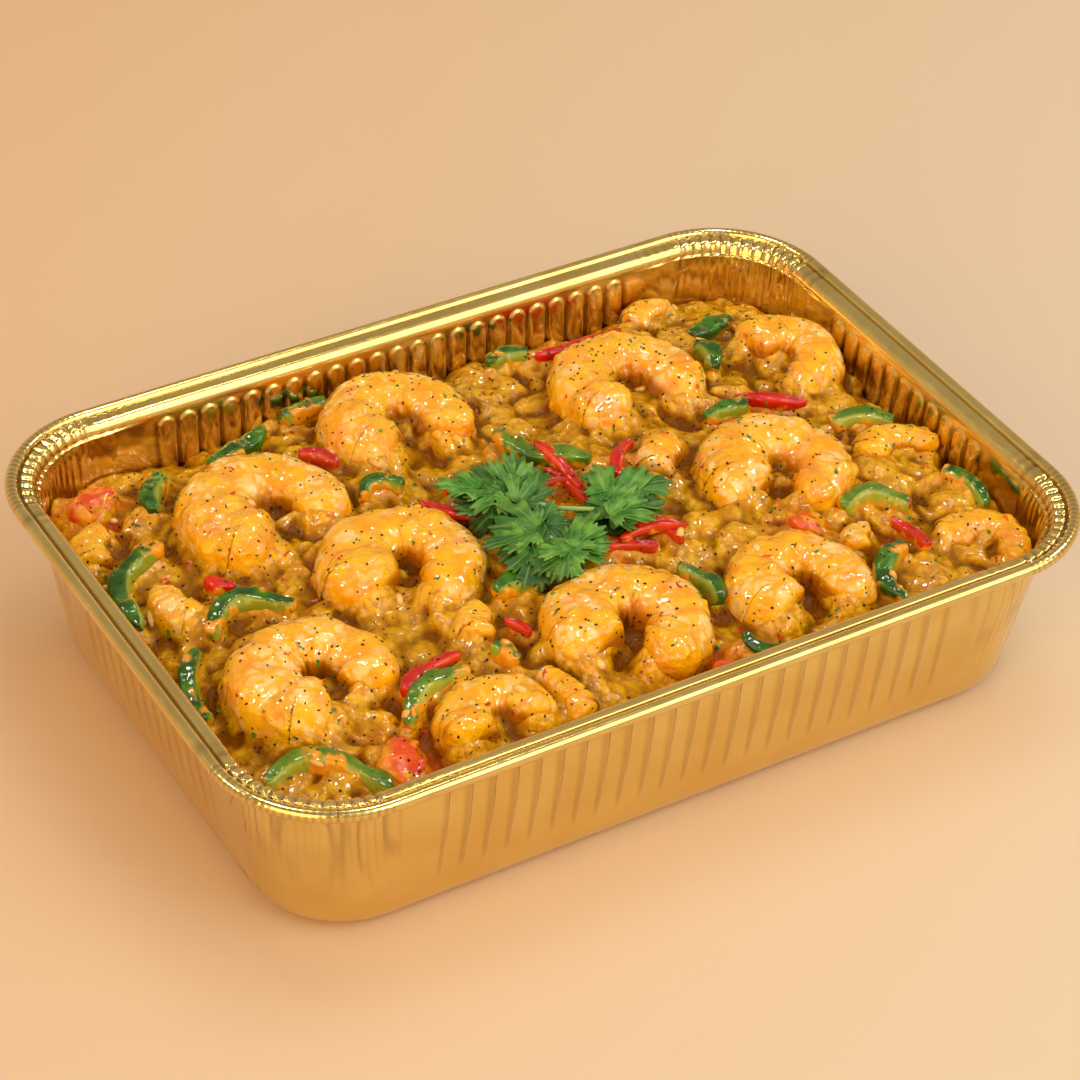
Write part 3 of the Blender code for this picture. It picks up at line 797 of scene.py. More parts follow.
def vegetable_material(name, skin, shade, flesh, rough, depth):
    """A cut vegetable: a waxy skin of uneven colour, paler flesh at the cuts and smears of sauce."""
    made, tree, shader = new_material(name)
    cloud = pattern(tree, 4.0, 1.0)
    base = mixed(tree, between(tree, cloud, 0.35, 0.6), skin, shade)
    cut = mixed(tree, attribute(tree, "cut"), base, flesh)
    smeared = mixed(tree, attribute(tree, "coat"), cut, "E49A14")
    normal = bumps(tree, [(pattern(tree, 1.6, 1.0), 0.5, 0.5)])
    wet_gloss(tree, shader, smeared, normal, rough, depth, 0.0)
    return made


def parsley_material():
    """A fresh parsley leaf: matt green with a soft sheen, paler along its veins and at its edge, and
    darker by painted shade where it lies lower.
    """
    made, tree, shader = new_material("parsley leaf")
    cloud = pattern(tree, 3.0, 1.0)
    base = mixed(tree, between(tree, cloud, 0.35, 0.65), "2F7812", "6AA23A")
    # Painted shade darkens the leaflets that lie lower.
    shaded = mixed(tree, attribute(tree, "age"), base, "17500E")
    veined = mixed(tree, attribute(tree, "vein"), shaded, "A9D07C")
    normal = bumps(tree, [(pattern(tree, 0.8, 2.0), 0.15, 0.4)])
    set_shader(tree, shader, {
        "Base Color": veined,
        "Roughness": 0.5,
        "Specular IOR Level": 0.3,
        "Normal": normal,
        "Subsurface Weight": 0.2,
        "Subsurface Radius": (0.4, 1.0, 0.2),
        "Subsurface Scale": 0.0008,
    })
    return made


def plain_bit_material(name, dark, light, rough, depth):
    """Small bits that each have their own shade between two colours."""
    made, tree, shader = new_material(name)
    colour = mixed(tree, attribute(tree, "shade"), dark, light)
    set_shader(tree, shader, {
        "Base Color": colour,
        "Roughness": rough,
        "Subsurface Weight": 0.1 if depth else 0.0,
        "Subsurface Scale": depth * 0.001,
        "Coat Weight": 0.3 if depth else 0.0,
        "Coat Roughness": 0.08,
        "Specular IOR Level": 0.3,
    })
    return made


# The tray


def wall_inset(z):
    """How far the food side of the wall stands in from the rim's outer edge at a height."""
    top = TRAY_HEIGHT - WALL_TOP_DROP
    share = (top - z) / (top - BASE_EDGE)
    return WALL_TOP_INSET + WALL_DRAFT * np.clip(share, 0.0, 1.0)


def foot_inset(z):
    """How much more the wall stands in under the flange."""
    return FLANGE_FOOT * smooth((z - FOOT_BOTTOM) / FOOT_HEIGHT)


def kept_inside(points):
    """Holds points back where they would run into the panels of the walls."""
    gap = wall_inset(points[..., 2]) + foot_inset(points[..., 2]) + PANEL_DEPTH
    for axis, size in ((0, TRAY_LENGTH), (1, TRAY_WIDTH)):
        points[..., axis] = np.clip(points[..., axis], gap - size / 2, size / 2 - gap)
    return points


class Perimeter:
    """The samples round the tray, the same for every level: four corners and the walls between them."""

    def __init__(self):
        quarters = []
        arcs = []
        angles = []
        fixed = []
        shares = []
        for quarter in range(4):
            count = LONG_PANELS if quarter % 2 == 0 else SHORT_PANELS
            reach = PANEL_PITCH * count / 2
            fluted = np.linspace(-reach, reach, count * PANEL_STEPS + 1)
            plain = np.arange(1, PLAIN_STEPS) / PLAIN_STEPS
            turns = np.linspace(0, 90, CORNER_STEPS + 1) + 90 * quarter
            stay = np.full(PLAIN_STEPS - 1, reach)
            places = np.concatenate([-stay, fluted, stay])
            share = np.concatenate([-plain[::-1], np.zeros(len(fluted)), plain])
            quarters.append(np.full(len(turns) + len(places), quarter))
            arcs.append(np.concatenate([np.ones(len(turns)), np.zeros(len(places))]))
            angles.append(np.concatenate([turns, np.full(len(places), 90.0 * quarter + 90)]))
            fixed.append(np.concatenate([np.zeros(len(turns)), places]))
            shares.append(np.concatenate([np.zeros(len(turns)), share]))
        self.quarter = np.concatenate(quarters)
        self.arc = np.concatenate(arcs) > 0.5
        self.angle = np.radians(np.concatenate(angles))
        self.fixed = np.concatenate(fixed)
        self.share = np.concatenate(shares)
        self.out = np.stack([np.cos(self.angle), np.sin(self.angle)], -1)
        # Distance from the middle of the nearest panel
        offset = (self.fixed + PANEL_PITCH / 2) % PANEL_PITCH - PANEL_PITCH / 2
        edge = (PANEL_WIDTH / 2 + PANEL_EDGE / 2 - np.abs(offset)) / PANEL_EDGE
        fluted = ~self.arc & (self.share == 0)
        round_face = 0.78 + 0.22 * np.cos(np.pi * offset / PANEL_WIDTH)
        self.pushed = np.where(fluted, smooth(edge) * round_face, 0.0)
        self.groove = np.where(fluted, 1 - smooth(edge), 0.0)
        self.arch = PANEL_ARCH * (2 * offset / PANEL_WIDTH) ** 2
        # Signed distance from the middle of the nearest corner, for the creases there
        middle = np.radians(90 * self.quarter + 45)
        half_arc = math.pi / 4 * WALL_CORNER
        straight = np.where(self.quarter % 2 == 0, TRAY_LENGTH, TRAY_WIDTH) / 2 - RIM_CORNER
        panels = np.where(self.quarter % 2 == 0, LONG_PANELS, SHORT_PANELS) * PANEL_PITCH / 2
        place = self.fixed + self.share * (straight - panels)
        on_wall = np.where(place < 0, half_arc + place + straight, place - straight - half_arc)
        self.away = np.where(self.arc, (self.angle - middle) * WALL_CORNER, on_wall)
        self.corner = np.where(self.arc | (place < 0), self.quarter, (self.quarter + 1) % 4)
        self.creased = smooth(1 - (np.abs(self.away) - half_arc) / CREASE_REACH)
        self.count = len(self.angle)

    def ring(self, inset, corner, z):
        """The points of one level."""
        half_x = TRAY_LENGTH / 2 - inset
        half_y = TRAY_WIDTH / 2 - inset
        sign = np.array([(1, 1), (-1, 1), (-1, -1), (1, -1)])[self.quarter]
        centre = sign * np.array([half_x - corner, half_y - corner])
        on_arc = centre + corner * self.out
        long_wall = self.quarter % 2 == 0
        straight = np.where(long_wall, half_x, half_y) - corner
        panels = np.where(long_wall, LONG_PANELS, SHORT_PANELS) * PANEL_PITCH / 2
        place = self.fixed + self.share * (straight - panels)
        reach = np.where(long_wall, half_y, half_x)
        along = np.stack([-self.out[:, 1], self.out[:, 0]], -1)
        on_wall = self.out * reach[:, None] + along * place[:, None]
        spots = np.where(self.arc[:, None], on_arc, on_wall)
        return np.column_stack([spots, np.full(self.count, z)])

    def pleats(self, pitch, seed, uneven=0.4):
        """Folds from 0 to 1 that stand close together at the corners and differ from one to the next."""
        line = np.column_stack([self.away, self.corner * 40.0, np.zeros(self.count)])
        drift = soft_noise(line, pitch * 2.2, seed) * pitch * uneven
        strength = 1 - uneven * (1 - soft_noise(line, pitch * 1.3, seed + 1))
        wave = 1 - np.abs(np.sin(np.pi * (self.away + drift) / pitch))
        return wave * strength * self.creased


def foil_tray_piece(finish):
    """The pressed tray as one sheet from under its rolled edge to its floor, then given its thickness."""
    rim = Perimeter()
    levels = []
    crease_shades = []
    outer_crease_shades = []
    middle = TRAY_HEIGHT - BEAD_RADIUS
    bead_dents = rim.pleats(BAND_PLEAT / 2, 11, 0.15)[:, None]
    for degrees in np.linspace(-BEAD_TURN, BEAD_TURN, BEAD_STEPS):
        angle = math.radians(degrees)
        inset = BEAD_RADIUS * (1 - math.cos(angle))
        ring = rim.ring(inset, RIM_CORNER - inset, middle + BEAD_RADIUS * math.sin(angle))
        ring[:, :2] -= rim.out * bead_dents * BEAD_DENT
        levels.append(ring)
    band = rim.pleats(BAND_PLEAT, 11, 0.12)
    for step, (inset, drop) in enumerate(FLANGE_STEPS):
        ring = rim.ring(inset, RIM_CORNER - inset, TRAY_HEIGHT - drop)
        share = smooth(step / 4)
        ring[:, 2] -= band * BAND_PLEAT_DEPTH * share
        levels.append(ring)
    fine = rim.pleats(WALL_PLEAT, 21)
    for z in WALL_HEIGHTS:
        ring = rim.ring(wall_inset(z) + foot_inset(z), WALL_CORNER, z)
        down = (PANEL_TOP - z) / (PANEL_TOP - PANEL_END)
        held_down = min(1.0, max(0.0, down))
        under_arch = PANEL_TOP - rim.arch - z
        panel = 0.35 * smooth(under_arch / PANEL_LIP) + 0.65 * smooth(under_arch / PANEL_SHOULDER)
        panel = panel * min(1.0, max(0.0, 1.04 - down))
        # Painted shade: dark lines along the slots between the panels, and on the corners' pleats and
        # streaks; on the outside the pleats' and streaks' shade fades towards the floor.
        slot_shade = rim.groove * smooth((PANEL_TOP - z) / 2) * smooth((z - PANEL_END) / 4)
        crumple = soft_noise(ring / CRUMPLE_SIZE, 1.0, 31)
        streak = smooth(1 - np.abs(crumple) * 3.5) * rim.creased
        fading = smooth((z - 6) / 30)
        crease_shades.append(slot_shade + INNER_PLEAT_SHADE * fine)
        folded = OUTER_PLEAT_SHADE * fine + STREAK_SHADE * streak
        outer_crease_shades.append(OUTER_GROOVE_SHADE * slot_shade + folded * fading)
        inward = rim.pushed * PANEL_DEPTH * panel
        inward = inward + fine * WALL_PLEAT_DEPTH * (1 - 0.65 * held_down)
        inward = inward + streak * STREAK_DEPTH
        inward = inward + soft_noise(ring, WAVE_SIZE, 41) * WAVE_DEPTH * min(1.0, held_down * 4)
        ring[:, :2] -= rim.out * inward[:, None]
        levels.append(ring)
    inner_edge = BASE_EDGE - FOIL
    for step in range(1, BASE_STEPS + 1):
        angle = math.pi / 2 * step / BASE_STEPS
        gone = inner_edge * (1 - math.cos(angle))
        z = FOIL + inner_edge * (1 - math.sin(angle))
        levels.append(rim.ring(wall_inset(BASE_EDGE) + gone, WALL_CORNER - gone, z))
    points = np.concatenate(levels)
    flat = np.zeros(rim.count)
    # Painted shade for the rim: full in the channel, and on the band's pleats and the bead's dents.
    channel = []
    for inset, drop in FLANGE_STEPS:
        channel.append(flat + 1.0 if CHANNEL[0] < inset < CHANNEL[1] else BAND_SHADE * band)
    before = [BEAD_SHADE * bead_dents[:, 0]] * BEAD_STEPS + channel
    groove = np.concatenate(before + crease_shades + [flat] * BASE_STEPS)
    outer_crease_shade = np.concatenate([flat] * len(before) + outer_crease_shades + [flat] * BASE_STEPS)
    faces = band_faces(len(levels), rim.count).tolist()
    first = (len(levels) - 1) * rim.count
    faces.append(list(range(first, first + rim.count)))
    attributes = {"groove": groove}
    tray = add_piece("pressed_foil_tray", points, faces, finish, attributes, ["foil_tray"])
    inner_points = len(points)
    thickness = tray.modifiers.new("foil thickness", "SOLIDIFY")
    thickness.thickness = FOIL * 0.001
    thickness.use_even_offset = True
    thickness.offset = -1.0
    settle_modifiers(tray)
    layer = tray.data.attributes["groove"]
    strength = np.zeros(len(tray.data.vertices), np.float32)
    layer.data.foreach_get("value", strength)
    strength[inner_points:] = outer_crease_shade
    layer.data.foreach_set("value", strength)
    return tray


# The food's forms


def sauce_level(x, y):
    """The sauce's general surface, as in the solids: a low crown with soft lumps."""
    across = 1 - (np.abs(x) / (TRAY_LENGTH / 2 - WALL_TOP_INSET)) ** 4
    along = 1 - (np.abs(y) / (TRAY_WIDTH / 2 - WALL_TOP_INSET)) ** 4
    z = FOOD_EDGE_LEVEL + FOOD_CROWN * np.clip(across, 0, 1) * np.clip(along, 0, 1)
    for height, along_x, along_y, phase_x, phase_y in SAUCE_LUMPS:
        z = z + height * np.sin(x * along_x + phase_x) * np.sin(y * along_y + phase_y)
    return z


def over_sauce(x, y):
    """The level that the chilli shreds lie on, over other pieces."""
    return sauce_level(x, y) + SHRED_RISE


class Track:
    """The middle line of a bent piece: places, half width, half height and height of the middle."""

    def __init__(self, x, y, half_width, half_height, middle):
        self.x = x
        self.y = y
        self.half_width = half_width
        self.half_height = half_height
        self.middle = middle
        heading = np.stack([np.gradient(x), np.gradient(y)], -1)
        heading /= np.linalg.norm(heading, axis=1)[:, None]
        self.left = np.stack([-heading[:, 1], heading[:, 0]], -1)

    def rings(self, side, up, extra):
        """Points round each place of the line, pushed out by extra millimetres."""
        across = side * (self.half_width[:, None] + extra)
        rise = up * (self.half_height[:, None] + extra)
        x = self.x[:, None] + self.left[:, :1] * across
        y = self.y[:, None] + self.left[:, 1:] * across
        return kept_inside(np.stack([x, y, self.middle[:, None] + rise], -1))


def prawn_track(numbers, count):
    cx, cy, radius, start, sweep, width, rise = numbers
    t = (1 - np.cos(np.linspace(0, np.pi, count))) / 2 * 0.35 + np.linspace(0, 1, count) * 0.65
    head = np.minimum(PRAWN_FIRST_RING + PRAWN_BLUNTNESS * t, 1.0)
    swell = head * (1 - PRAWN_TAIL_LOSS * t**2)
    half_width = width / 2 * swell
    angle = np.radians(start + sweep * t)
    track = radius - half_width - PRAWN_INWARD * t * (radius - width)
    top = sauce_level(cx, cy) + rise * (1 + swell) / 2
    half_height = half_width * PRAWN_FLATNESS
    head_end = np.sqrt(1 - (1 - np.clip(t / HEAD_ROUNDING, 0.02, 1)) ** 2)
    tail_end = np.sqrt(1 - (1 - np.clip((1 - t) / TAIL_ROUNDING, 0.02, 1)) ** 2)
    rounding = head_end * tail_end
    x = cx + track * np.cos(angle)
    y = cy + track * np.sin(angle)
    made = Track(x, y, half_width * rounding, half_height * rounding, top - half_height)
    made.t = t
    return made


def strip_track(numbers, taper, floor, lift):
    """The line of a cut strip that lies on the floor under it and stands up by the lift more."""
    start, middle, end, width, rise = numbers
    t = np.linspace(0, 1, STRIP_RINGS)
    line = through_three((start, middle, end), t)
    narrowing = 1 - taper * (2 * t - 1) ** 2
    rounding = np.sqrt(1 - (1 - np.clip(np.minimum(t, 1 - t) / 0.05, 0.03, 1)) ** 2)
    half_width = width / 2 * 1.1 * narrowing * rounding
    half_height = (rise + lift) / 2 * (0.35 + 0.65 * rounding * narrowing)
    resting = floor(line[:, 0], line[:, 1]) + STRIP_CLEARANCE + (rise + lift) / 2
    return Track(line[:, 0], line[:, 1], half_width, half_height, resting)


def piece_heights(track, x, y):
    """Heights of a piece's top over a grid of places, and a very low value beside it."""
    top = np.full(x.shape, BELOW_ALL)
    margin = track.half_width.max() + 1
    near = (x > track.x.min() - margin) & (x < track.x.max() + margin)
    near &= (y > track.y.min() - margin) & (y < track.y.max() + margin)
    spots = np.stack([x[near], y[near]], -1)
    if len(spots) == 0:
        return top
    away = np.hypot(spots[:, :1] - track.x[None, :], spots[:, 1:] - track.y[None, :])
    share = away / np.maximum(track.half_width[None, :], 0.01)
    heights = track.middle + track.half_height * np.sqrt(np.clip(1 - share**2, 0, 1))
    heights = np.where(share < 1, heights, BELOW_ALL)
    top[near] = heights.max(1)
    return top


def make_prawn(name, numbers, seed, size, coating, finish, node):
    """A peeled prawn on its side: a curl of soft bands, with thick sauce on its flanks and inside."""
    count, sides = size
    track = prawn_track(numbers, count)
    side, up = ring_shape(sides, FULLNESS)
    scale = numbers[5] / LARGE_PRAWN
    rng = np.random.default_rng(seed)
    edges = np.array(BAND_EDGES)
    edges[1:-1] += rng.uniform(-0.02, 0.02, len(edges) - 2)
    flat = track.rings(side, up, np.zeros((count, sides)))
    slanted = track.t[:, None] + 0.03 * (side**2 - 0.5) + 0.02 * soft_noise(flat, 6.0, seed)
    band = np.clip(np.searchsorted(edges, slanted) - 1, 0, len(edges) - 2)
    along_band = np.clip((slanted - edges[band]) / (edges[band + 1] - edges[band]), 0, 1)
    depth = BAND_DEPTH * (0.35 + 0.65 * smooth(0.5 + 1.6 * soft_noise(flat, 11.0, seed + 8)))
    inner = np.clip(-side, 0, 1)
    swell = np.sin(np.pi * along_band) ** 0.6
    extra = scale * depth * (0.55 + 0.9 * inner) * (swell - 1)
    extra = extra + soft_noise(flat, 8.0, seed + 1) * 0.8 * scale + soft_noise(flat, 4.0, seed + 2) * 0.25
    extra = extra + 0.5 * inner * scale

    low = smooth((0.2 - up) / 0.5)
    clouds = soft_noise(flat, 7.0, seed + 3) + 0.45 * soft_noise(flat, 2.6, seed + 4)
    coat = smooth((clouds + 0.9 * coating - 0.12 + 0.7 * low + 0.5 * inner) / 0.3)
    ragged = np.abs(soft_noise(flat, 2.6, seed + 5)) * 0.75 + soft_noise(flat, 1.3, seed + 6) * 0.2
    extra = extra + coat * (0.1 + ragged)
    extra = np.clip(extra, -0.3 * track.half_width[:, None], 0.5 * track.half_width[:, None])
    points, faces = tube_mesh(track.rings(side, up, extra))
    joint = np.exp(-np.minimum(along_band, 1 - along_band) / 0.08)
    pink = 0.55 * joint * smooth(soft_noise(flat, 5.0, seed + 7) * 2)
    pink = pink + 0.5 * smooth((soft_noise(flat, 5.0, seed + 9) - 0.35) / 0.3)
    # The inner cleft and the underside turn dark amber: partly thicker sauce, partly painted shade.
    amber = smooth((inner - 0.55) / 0.4) * smooth((0.8 - up) / 0.6) * 0.9
    amber = amber + 0.75 * smooth((0.1 - up) / 0.4)
    attributes = {
        "coat": end_padded(coat),
        "pink": end_padded(np.clip(pink, 0, 0.45)),
        "amber": end_padded(np.clip(amber, 0, 0.85) * np.ones((count, 1))),
    }
    return add_piece(name, points, faces, finish, attributes, [node])


def make_strip(name, track, seed, look, finish, node):
    """A cut strip: a skin on its outer side, paler flesh on its inner side and smears of the sauce."""
    count = len(track.x)
    side, up = ring_shape(STRIP_SIDES, look["squareness"])
    span_x = track.x[-1] - track.x[0]
    span_y = track.y[-1] - track.y[0]
    bend = np.sign(track.left[0, 0] * span_x + track.left[0, 1] * span_y)
    hollow = side * (bend if bend else 1.0)
    flat = track.rings(side, up, np.zeros((count, STRIP_SIDES)))
    extra = (soft_noise(flat, 5.0, seed) + soft_noise(flat, 1.7, seed + 1) * 0.3) * look["uneven"]
    patches = soft_noise(flat, 3.6, seed + 2) + 0.5 * soft_noise(flat, 1.5, seed + 3)
    coat = smooth((patches - look["bare"] - 0.45 * up) / 0.3)
    extra = extra + coat * (0.2 + 0.5 * np.abs(soft_noise(flat, 1.9, seed + 4)))
    extra = extra - look["gutter"] * np.exp(-((side / 0.35) ** 2)) * smooth(up) * np.ones((count, 1))
    extra = np.minimum(extra, track.half_width[:, None] * 0.5)
    rings = track.rings(side, up, extra)
    # The crown leans to the outer side, as the wall of a pepper does
    rings[..., 0] -= track.left[:, :1] * bend * look["lean"] * (1 + up)
    rings[..., 1] -= track.left[:, 1:] * bend * look["lean"] * (1 + up)
    points, faces = tube_mesh(rings)
    cut = smooth((hollow - 0.5 + 0.4 * soft_noise(flat, 6.0, seed + 6)) / 0.3)
    attributes = {"coat": end_padded(coat), "cut": end_padded(cut * look["flesh"])}
    return add_piece(name, points, faces, finish, attributes, [node] if node else ())


def lay_prawns(label, node, group, seeds, size, coating, finish):
    """Makes all prawns of one kind, each for the solid of its number. Size is rings and sides."""
    made = []
    for i, (numbers, seed) in enumerate(zip(group, seeds)):
        name = f"{label}_{i + 1:02d}"
        made.append(make_prawn(name, numbers, seed, size, coating, finish, f"{node}_{i + 1:02d}"))
    return made


def lay_strips(label, node, tracks, first_seed, look, finishes):
    """Makes all strips of one kind. With a node's name, each stands for the solid of its number."""
    made = []
    for i, track in enumerate(tracks):
        name = f"{label}_{i + 1:02d}"
        stands_for = f"{node}_{i + 1:02d}" if node else None
        made.append(make_strip(name, track, first_seed + 5 * i, look, finishes[i], stands_for))
    return made


def tomato_track(numbers, floor):
    """The line of a tomato piece, widest in its middle."""
    cx, cy, length, width, turn, rise = numbers
    t = np.linspace(-1, 1, TOMATO_RINGS)
    angle = math.radians(turn)
    x = cx + length / 2 * t * math.cos(angle)
    y = cy + length / 2 * t * math.sin(angle)
    half_width = width / 2 * np.sqrt(np.clip(1.02 - t * t, 0, 1)) * (1 + 0.1 * np.sin(5 * t + cx))
    half_height = rise / 2 * np.sqrt(np.clip(1.05 - t * t, 0, 1))
    return Track(x, y, half_width, half_height, floor(x, y) + TOMATO_CLEARANCE + rise / 2)


def sauce_grid():
    """A square grid bent to the tray's rounded outline. The edge reaches into the foil at the corners,
    and only to the pushed-in faces of the panels along the walls."""
    inset = wall_inset(FOOD_EDGE_LEVEL) + SAUCE_INSET
    half_x = TRAY_LENGTH / 2 - inset
    half_y = TRAY_WIDTH / 2 - inset
    corner = WALL_CORNER - SAUCE_INSET
    columns = round(2 * half_x / SAUCE_CELL)
    rows = round(2 * half_y / SAUCE_CELL)
    x, y = np.meshgrid(np.linspace(-half_x, half_x, columns + 1), np.linspace(-half_y, half_y, rows + 1))
    core_x = np.clip(x, corner - half_x, half_x - corner)
    core_y = np.clip(y, corner - half_y, half_y - corner)
    away_x = x - core_x
    away_y = y - core_y
    length = np.hypot(away_x, away_y)
    longest = np.maximum(np.abs(away_x), np.abs(away_y))
    squeeze = np.where(length > 0, longest / np.maximum(length, 1e-9), 1)
    return core_x + away_x * squeeze, core_y + away_y * squeeze


def sauce_heights(x, y, pieces):
    """The fine surface: humps, curds and grains, drawn up against the pieces that lie in it."""
    level = sauce_level(x, y)
    flat = np.stack([x, y, np.zeros(x.shape)], -1)
    bent_x = x
    bent_y = y
    for size, reach, seed_x, seed_y in SAUCE_BENDS:
        bent_x = bent_x + soft_noise(flat, size, seed_x) * reach
        bent_y = bent_y + soft_noise(flat, size, seed_y) * reach
    grainy = smooth(0.5 + soft_noise(flat, 9.0, 55) * 1.2)
    lumps = np.zeros(x.shape)
    for spacing, low, high, seed, kept in SAUCE_DOMES:
        lumps = lumps + domes(bent_x, bent_y, spacing, low, high, seed) * (1 - kept + kept * grainy)
    lumps = blur(lumps, 0.7) - lumps.mean()
    wall_gap = np.minimum(np.abs(x).max() - np.abs(x), np.abs(y).max() - np.abs(y))
    open_sauce = level + SAUCE_LIFT + lumps - EDGE_DIP * smooth(1 - wall_gap / EDGE_REACH)
    top = np.full(x.shape, BELOW_ALL)
    for track in pieces:
        top = np.maximum(top, piece_heights(track, x, y))
    excess = np.clip(top - SINK - open_sauce, 0, 8)
    drawn = blur(excess, FILLET / SAUCE_CELL)
    return open_sauce + 0.75 * drawn


def fit_to_wall(x, y, z):
    """Draws the sauce's edge in where it lies lower, because the walls slope."""
    lower = np.maximum(wall_inset(z) - wall_inset(FOOD_EDGE_LEVEL), 0)
    fitted = []
    for places in (x, y):
        near = smooth(1 - (np.abs(places).max() - np.abs(places)) / EDGE_FIT)
        fitted.append(places - np.sign(places) * lower * near)
    return fitted


def sauce_piece(x, y, z, stain, finish):
    rows, columns = x.shape
    crease = 0.9 * (blur(z, 2.5) - z) + 0.3 * (blur(z, 9.0) - z)
    top = np.stack([x, y, z], -1).reshape(-1, 3)
    index = np.arange(rows * columns).reshape(rows, columns)
    edge = np.concatenate([index[0, :-1], index[:-1, -1], index[-1, :0:-1], index[:0:-1, 0]])
    points = [top]
    rings = [edge]
    total = len(top)
    inner_edge = BASE_EDGE - FOIL
    foot = wall_inset(BASE_EDGE)
    edge_x = np.abs(x).max()
    edge_y = np.abs(y).max()
    for inset, height in (
        (foot + 1.2, PANEL_END + 1),
        (foot + inner_edge * 0.3 + FLOOR_GAP, FOIL + inner_edge * 0.3 + FLOOR_GAP),
        (foot + inner_edge, FOIL + FLOOR_GAP),
    ):
        ring = top[edge].copy()
        ring[:, 0] *= (TRAY_LENGTH / 2 - inset) / edge_x
        ring[:, 1] *= (TRAY_WIDTH / 2 - inset) / edge_y
        ring[:, 2] = height
        points.append(ring)
        rings.append(np.arange(total, total + len(edge)))
        total += len(edge)
    faces = grid_faces(rows, columns).tolist()
    for upper, lower in zip(rings, rings[1:]):
        quads = np.stack([upper, np.roll(upper, -1), np.roll(lower, -1), lower], -1)
        faces.extend(quads.tolist())
    faces.append(rings[-1].tolist())
    extra = total - len(top)
    attributes = {
        "crease": np.concatenate([crease.ravel(), np.zeros(extra)]),
        "stain": np.concatenate([stain.ravel(), np.zeros(extra)]),
    }
    every = np.concatenate(points)
    return add_piece("curry", every, faces, finish, attributes, ["curry_sauce"])


def spread_stain(x, y, tracks):
    """How much the red of tomato and chilli has run into the sauce round it."""
    stain = np.zeros(x.shape)
    for track, reach, strength in tracks:
        cx = track.x.mean()
        cy = track.y.mean()
        size = max(np.ptp(track.x), np.ptp(track.y)) / 2 + reach
        away = np.hypot(x - cx, y - cy) / size
        stain = np.maximum(stain, strength * np.exp(-2.5 * away**2))
    flat = np.stack([x, y, np.zeros(x.shape)], -1)
    return stain * smooth(0.6 + soft_noise(flat, 2.5, 71))


# The parsley


def leaf_outline(angles, rng):
    """How far the leaflet's toothed edge is from its base, and where in its lobe each direction lies."""
    reach = np.full(len(angles), 0.34) * smooth((108 - np.abs(angles)) / 30) + 0.06
    vein = np.ones(len(angles))
    for turn, size, half in LOBES:
        turn = turn + rng.uniform(-6, 6)
        size = size * rng.uniform(0.82, 1.1)
        across = (angles - turn) / half
        tooth = 1 - 0.08 * (1 - np.cos(3 * np.pi * across))
        lobe = size * np.clip(1 - across**6, 0, 1) ** 0.5 * tooth * (1 - 0.08 * across**2)
        lobe = np.where(np.abs(across) < 1, lobe, 0)
        wins = lobe > reach
        reach = np.where(wins, lobe, reach)
        vein = np.where(wins, across, vein)
    return reach, vein


def leaflet_mesh(base, direction, length, tilt, roll, seed, floor):
    """One toothed leaflet as a thin sheet: folded at its veins, drooping, clear of the food."""
    rng = np.random.default_rng(seed)
    angles = np.linspace(-116, 116, LEAF_SAMPLES)
    reach, vein = leaf_outline(angles, rng)
    out = np.linspace(0.04, 1, LEAF_RINGS)[:, None]
    far = reach[None, :] * out * length
    x = far * np.cos(np.radians(angles))[None, :]
    y = far * np.sin(np.radians(angles))[None, :] * 0.92
    fold = (np.abs(vein)[None, :] - 0.35) * 0.7 * out * np.sqrt(reach)[None, :]
    droop = -rng.uniform(0.0, 0.03) * far**2
    flat = np.stack([x, y, np.full(x.shape, seed * 9.0)], -1)
    wave = soft_noise(flat, 3.5, seed) * 1.1 * out
    z = fold + droop + wave
    local = np.stack([x, y, z], -1).reshape(-1, 3)
    turn = Matrix.Rotation(math.radians(direction), 3, "Z")
    turn = turn @ Matrix.Rotation(math.radians(-tilt), 3, "Y")
    turn = turn @ Matrix.Rotation(math.radians(roll), 3, "X")
    placed = local @ np.array(turn).T + np.array(base)
    over = placed[:, 2] > LEAF_TOP - LEAF_MARGIN
    eased = np.exp(-(placed[over, 2] - LEAF_TOP + LEAF_MARGIN) / LEAF_MARGIN)
    placed[over, 2] = LEAF_TOP - LEAF_MARGIN * eased
    ground = floor(placed[:, 0], placed[:, 1]) + LEAF_CLEARANCE
    placed[:, 2] = np.maximum(placed[:, 2], ground)
    veins = 0.55 * np.exp(-((vein[None, :] / 0.1) ** 2)) * (1 - 0.6 * out)
    veins = veins + 0.1 * smooth((out - 0.85) / 0.15)
    return placed, grid_faces(LEAF_RINGS, LEAF_SAMPLES), np.clip(veins, 0, 1).ravel()


def stem_rings(spots):
    """A round stem through three places, thinner at its far end."""
    t = np.linspace(0, 1, STEM_RINGS)
    line = through_three(spots, t)
    taper = STEM_RADIUS * (1 - 0.35 * t)
    track = Track(line[:, 0], line[:, 1], taper, taper, line[:, 2])
    across, up = ring_shape(STEM_SIDES, 1)
    return track.rings(across, up, np.zeros((STEM_RINGS, STEM_SIDES)))


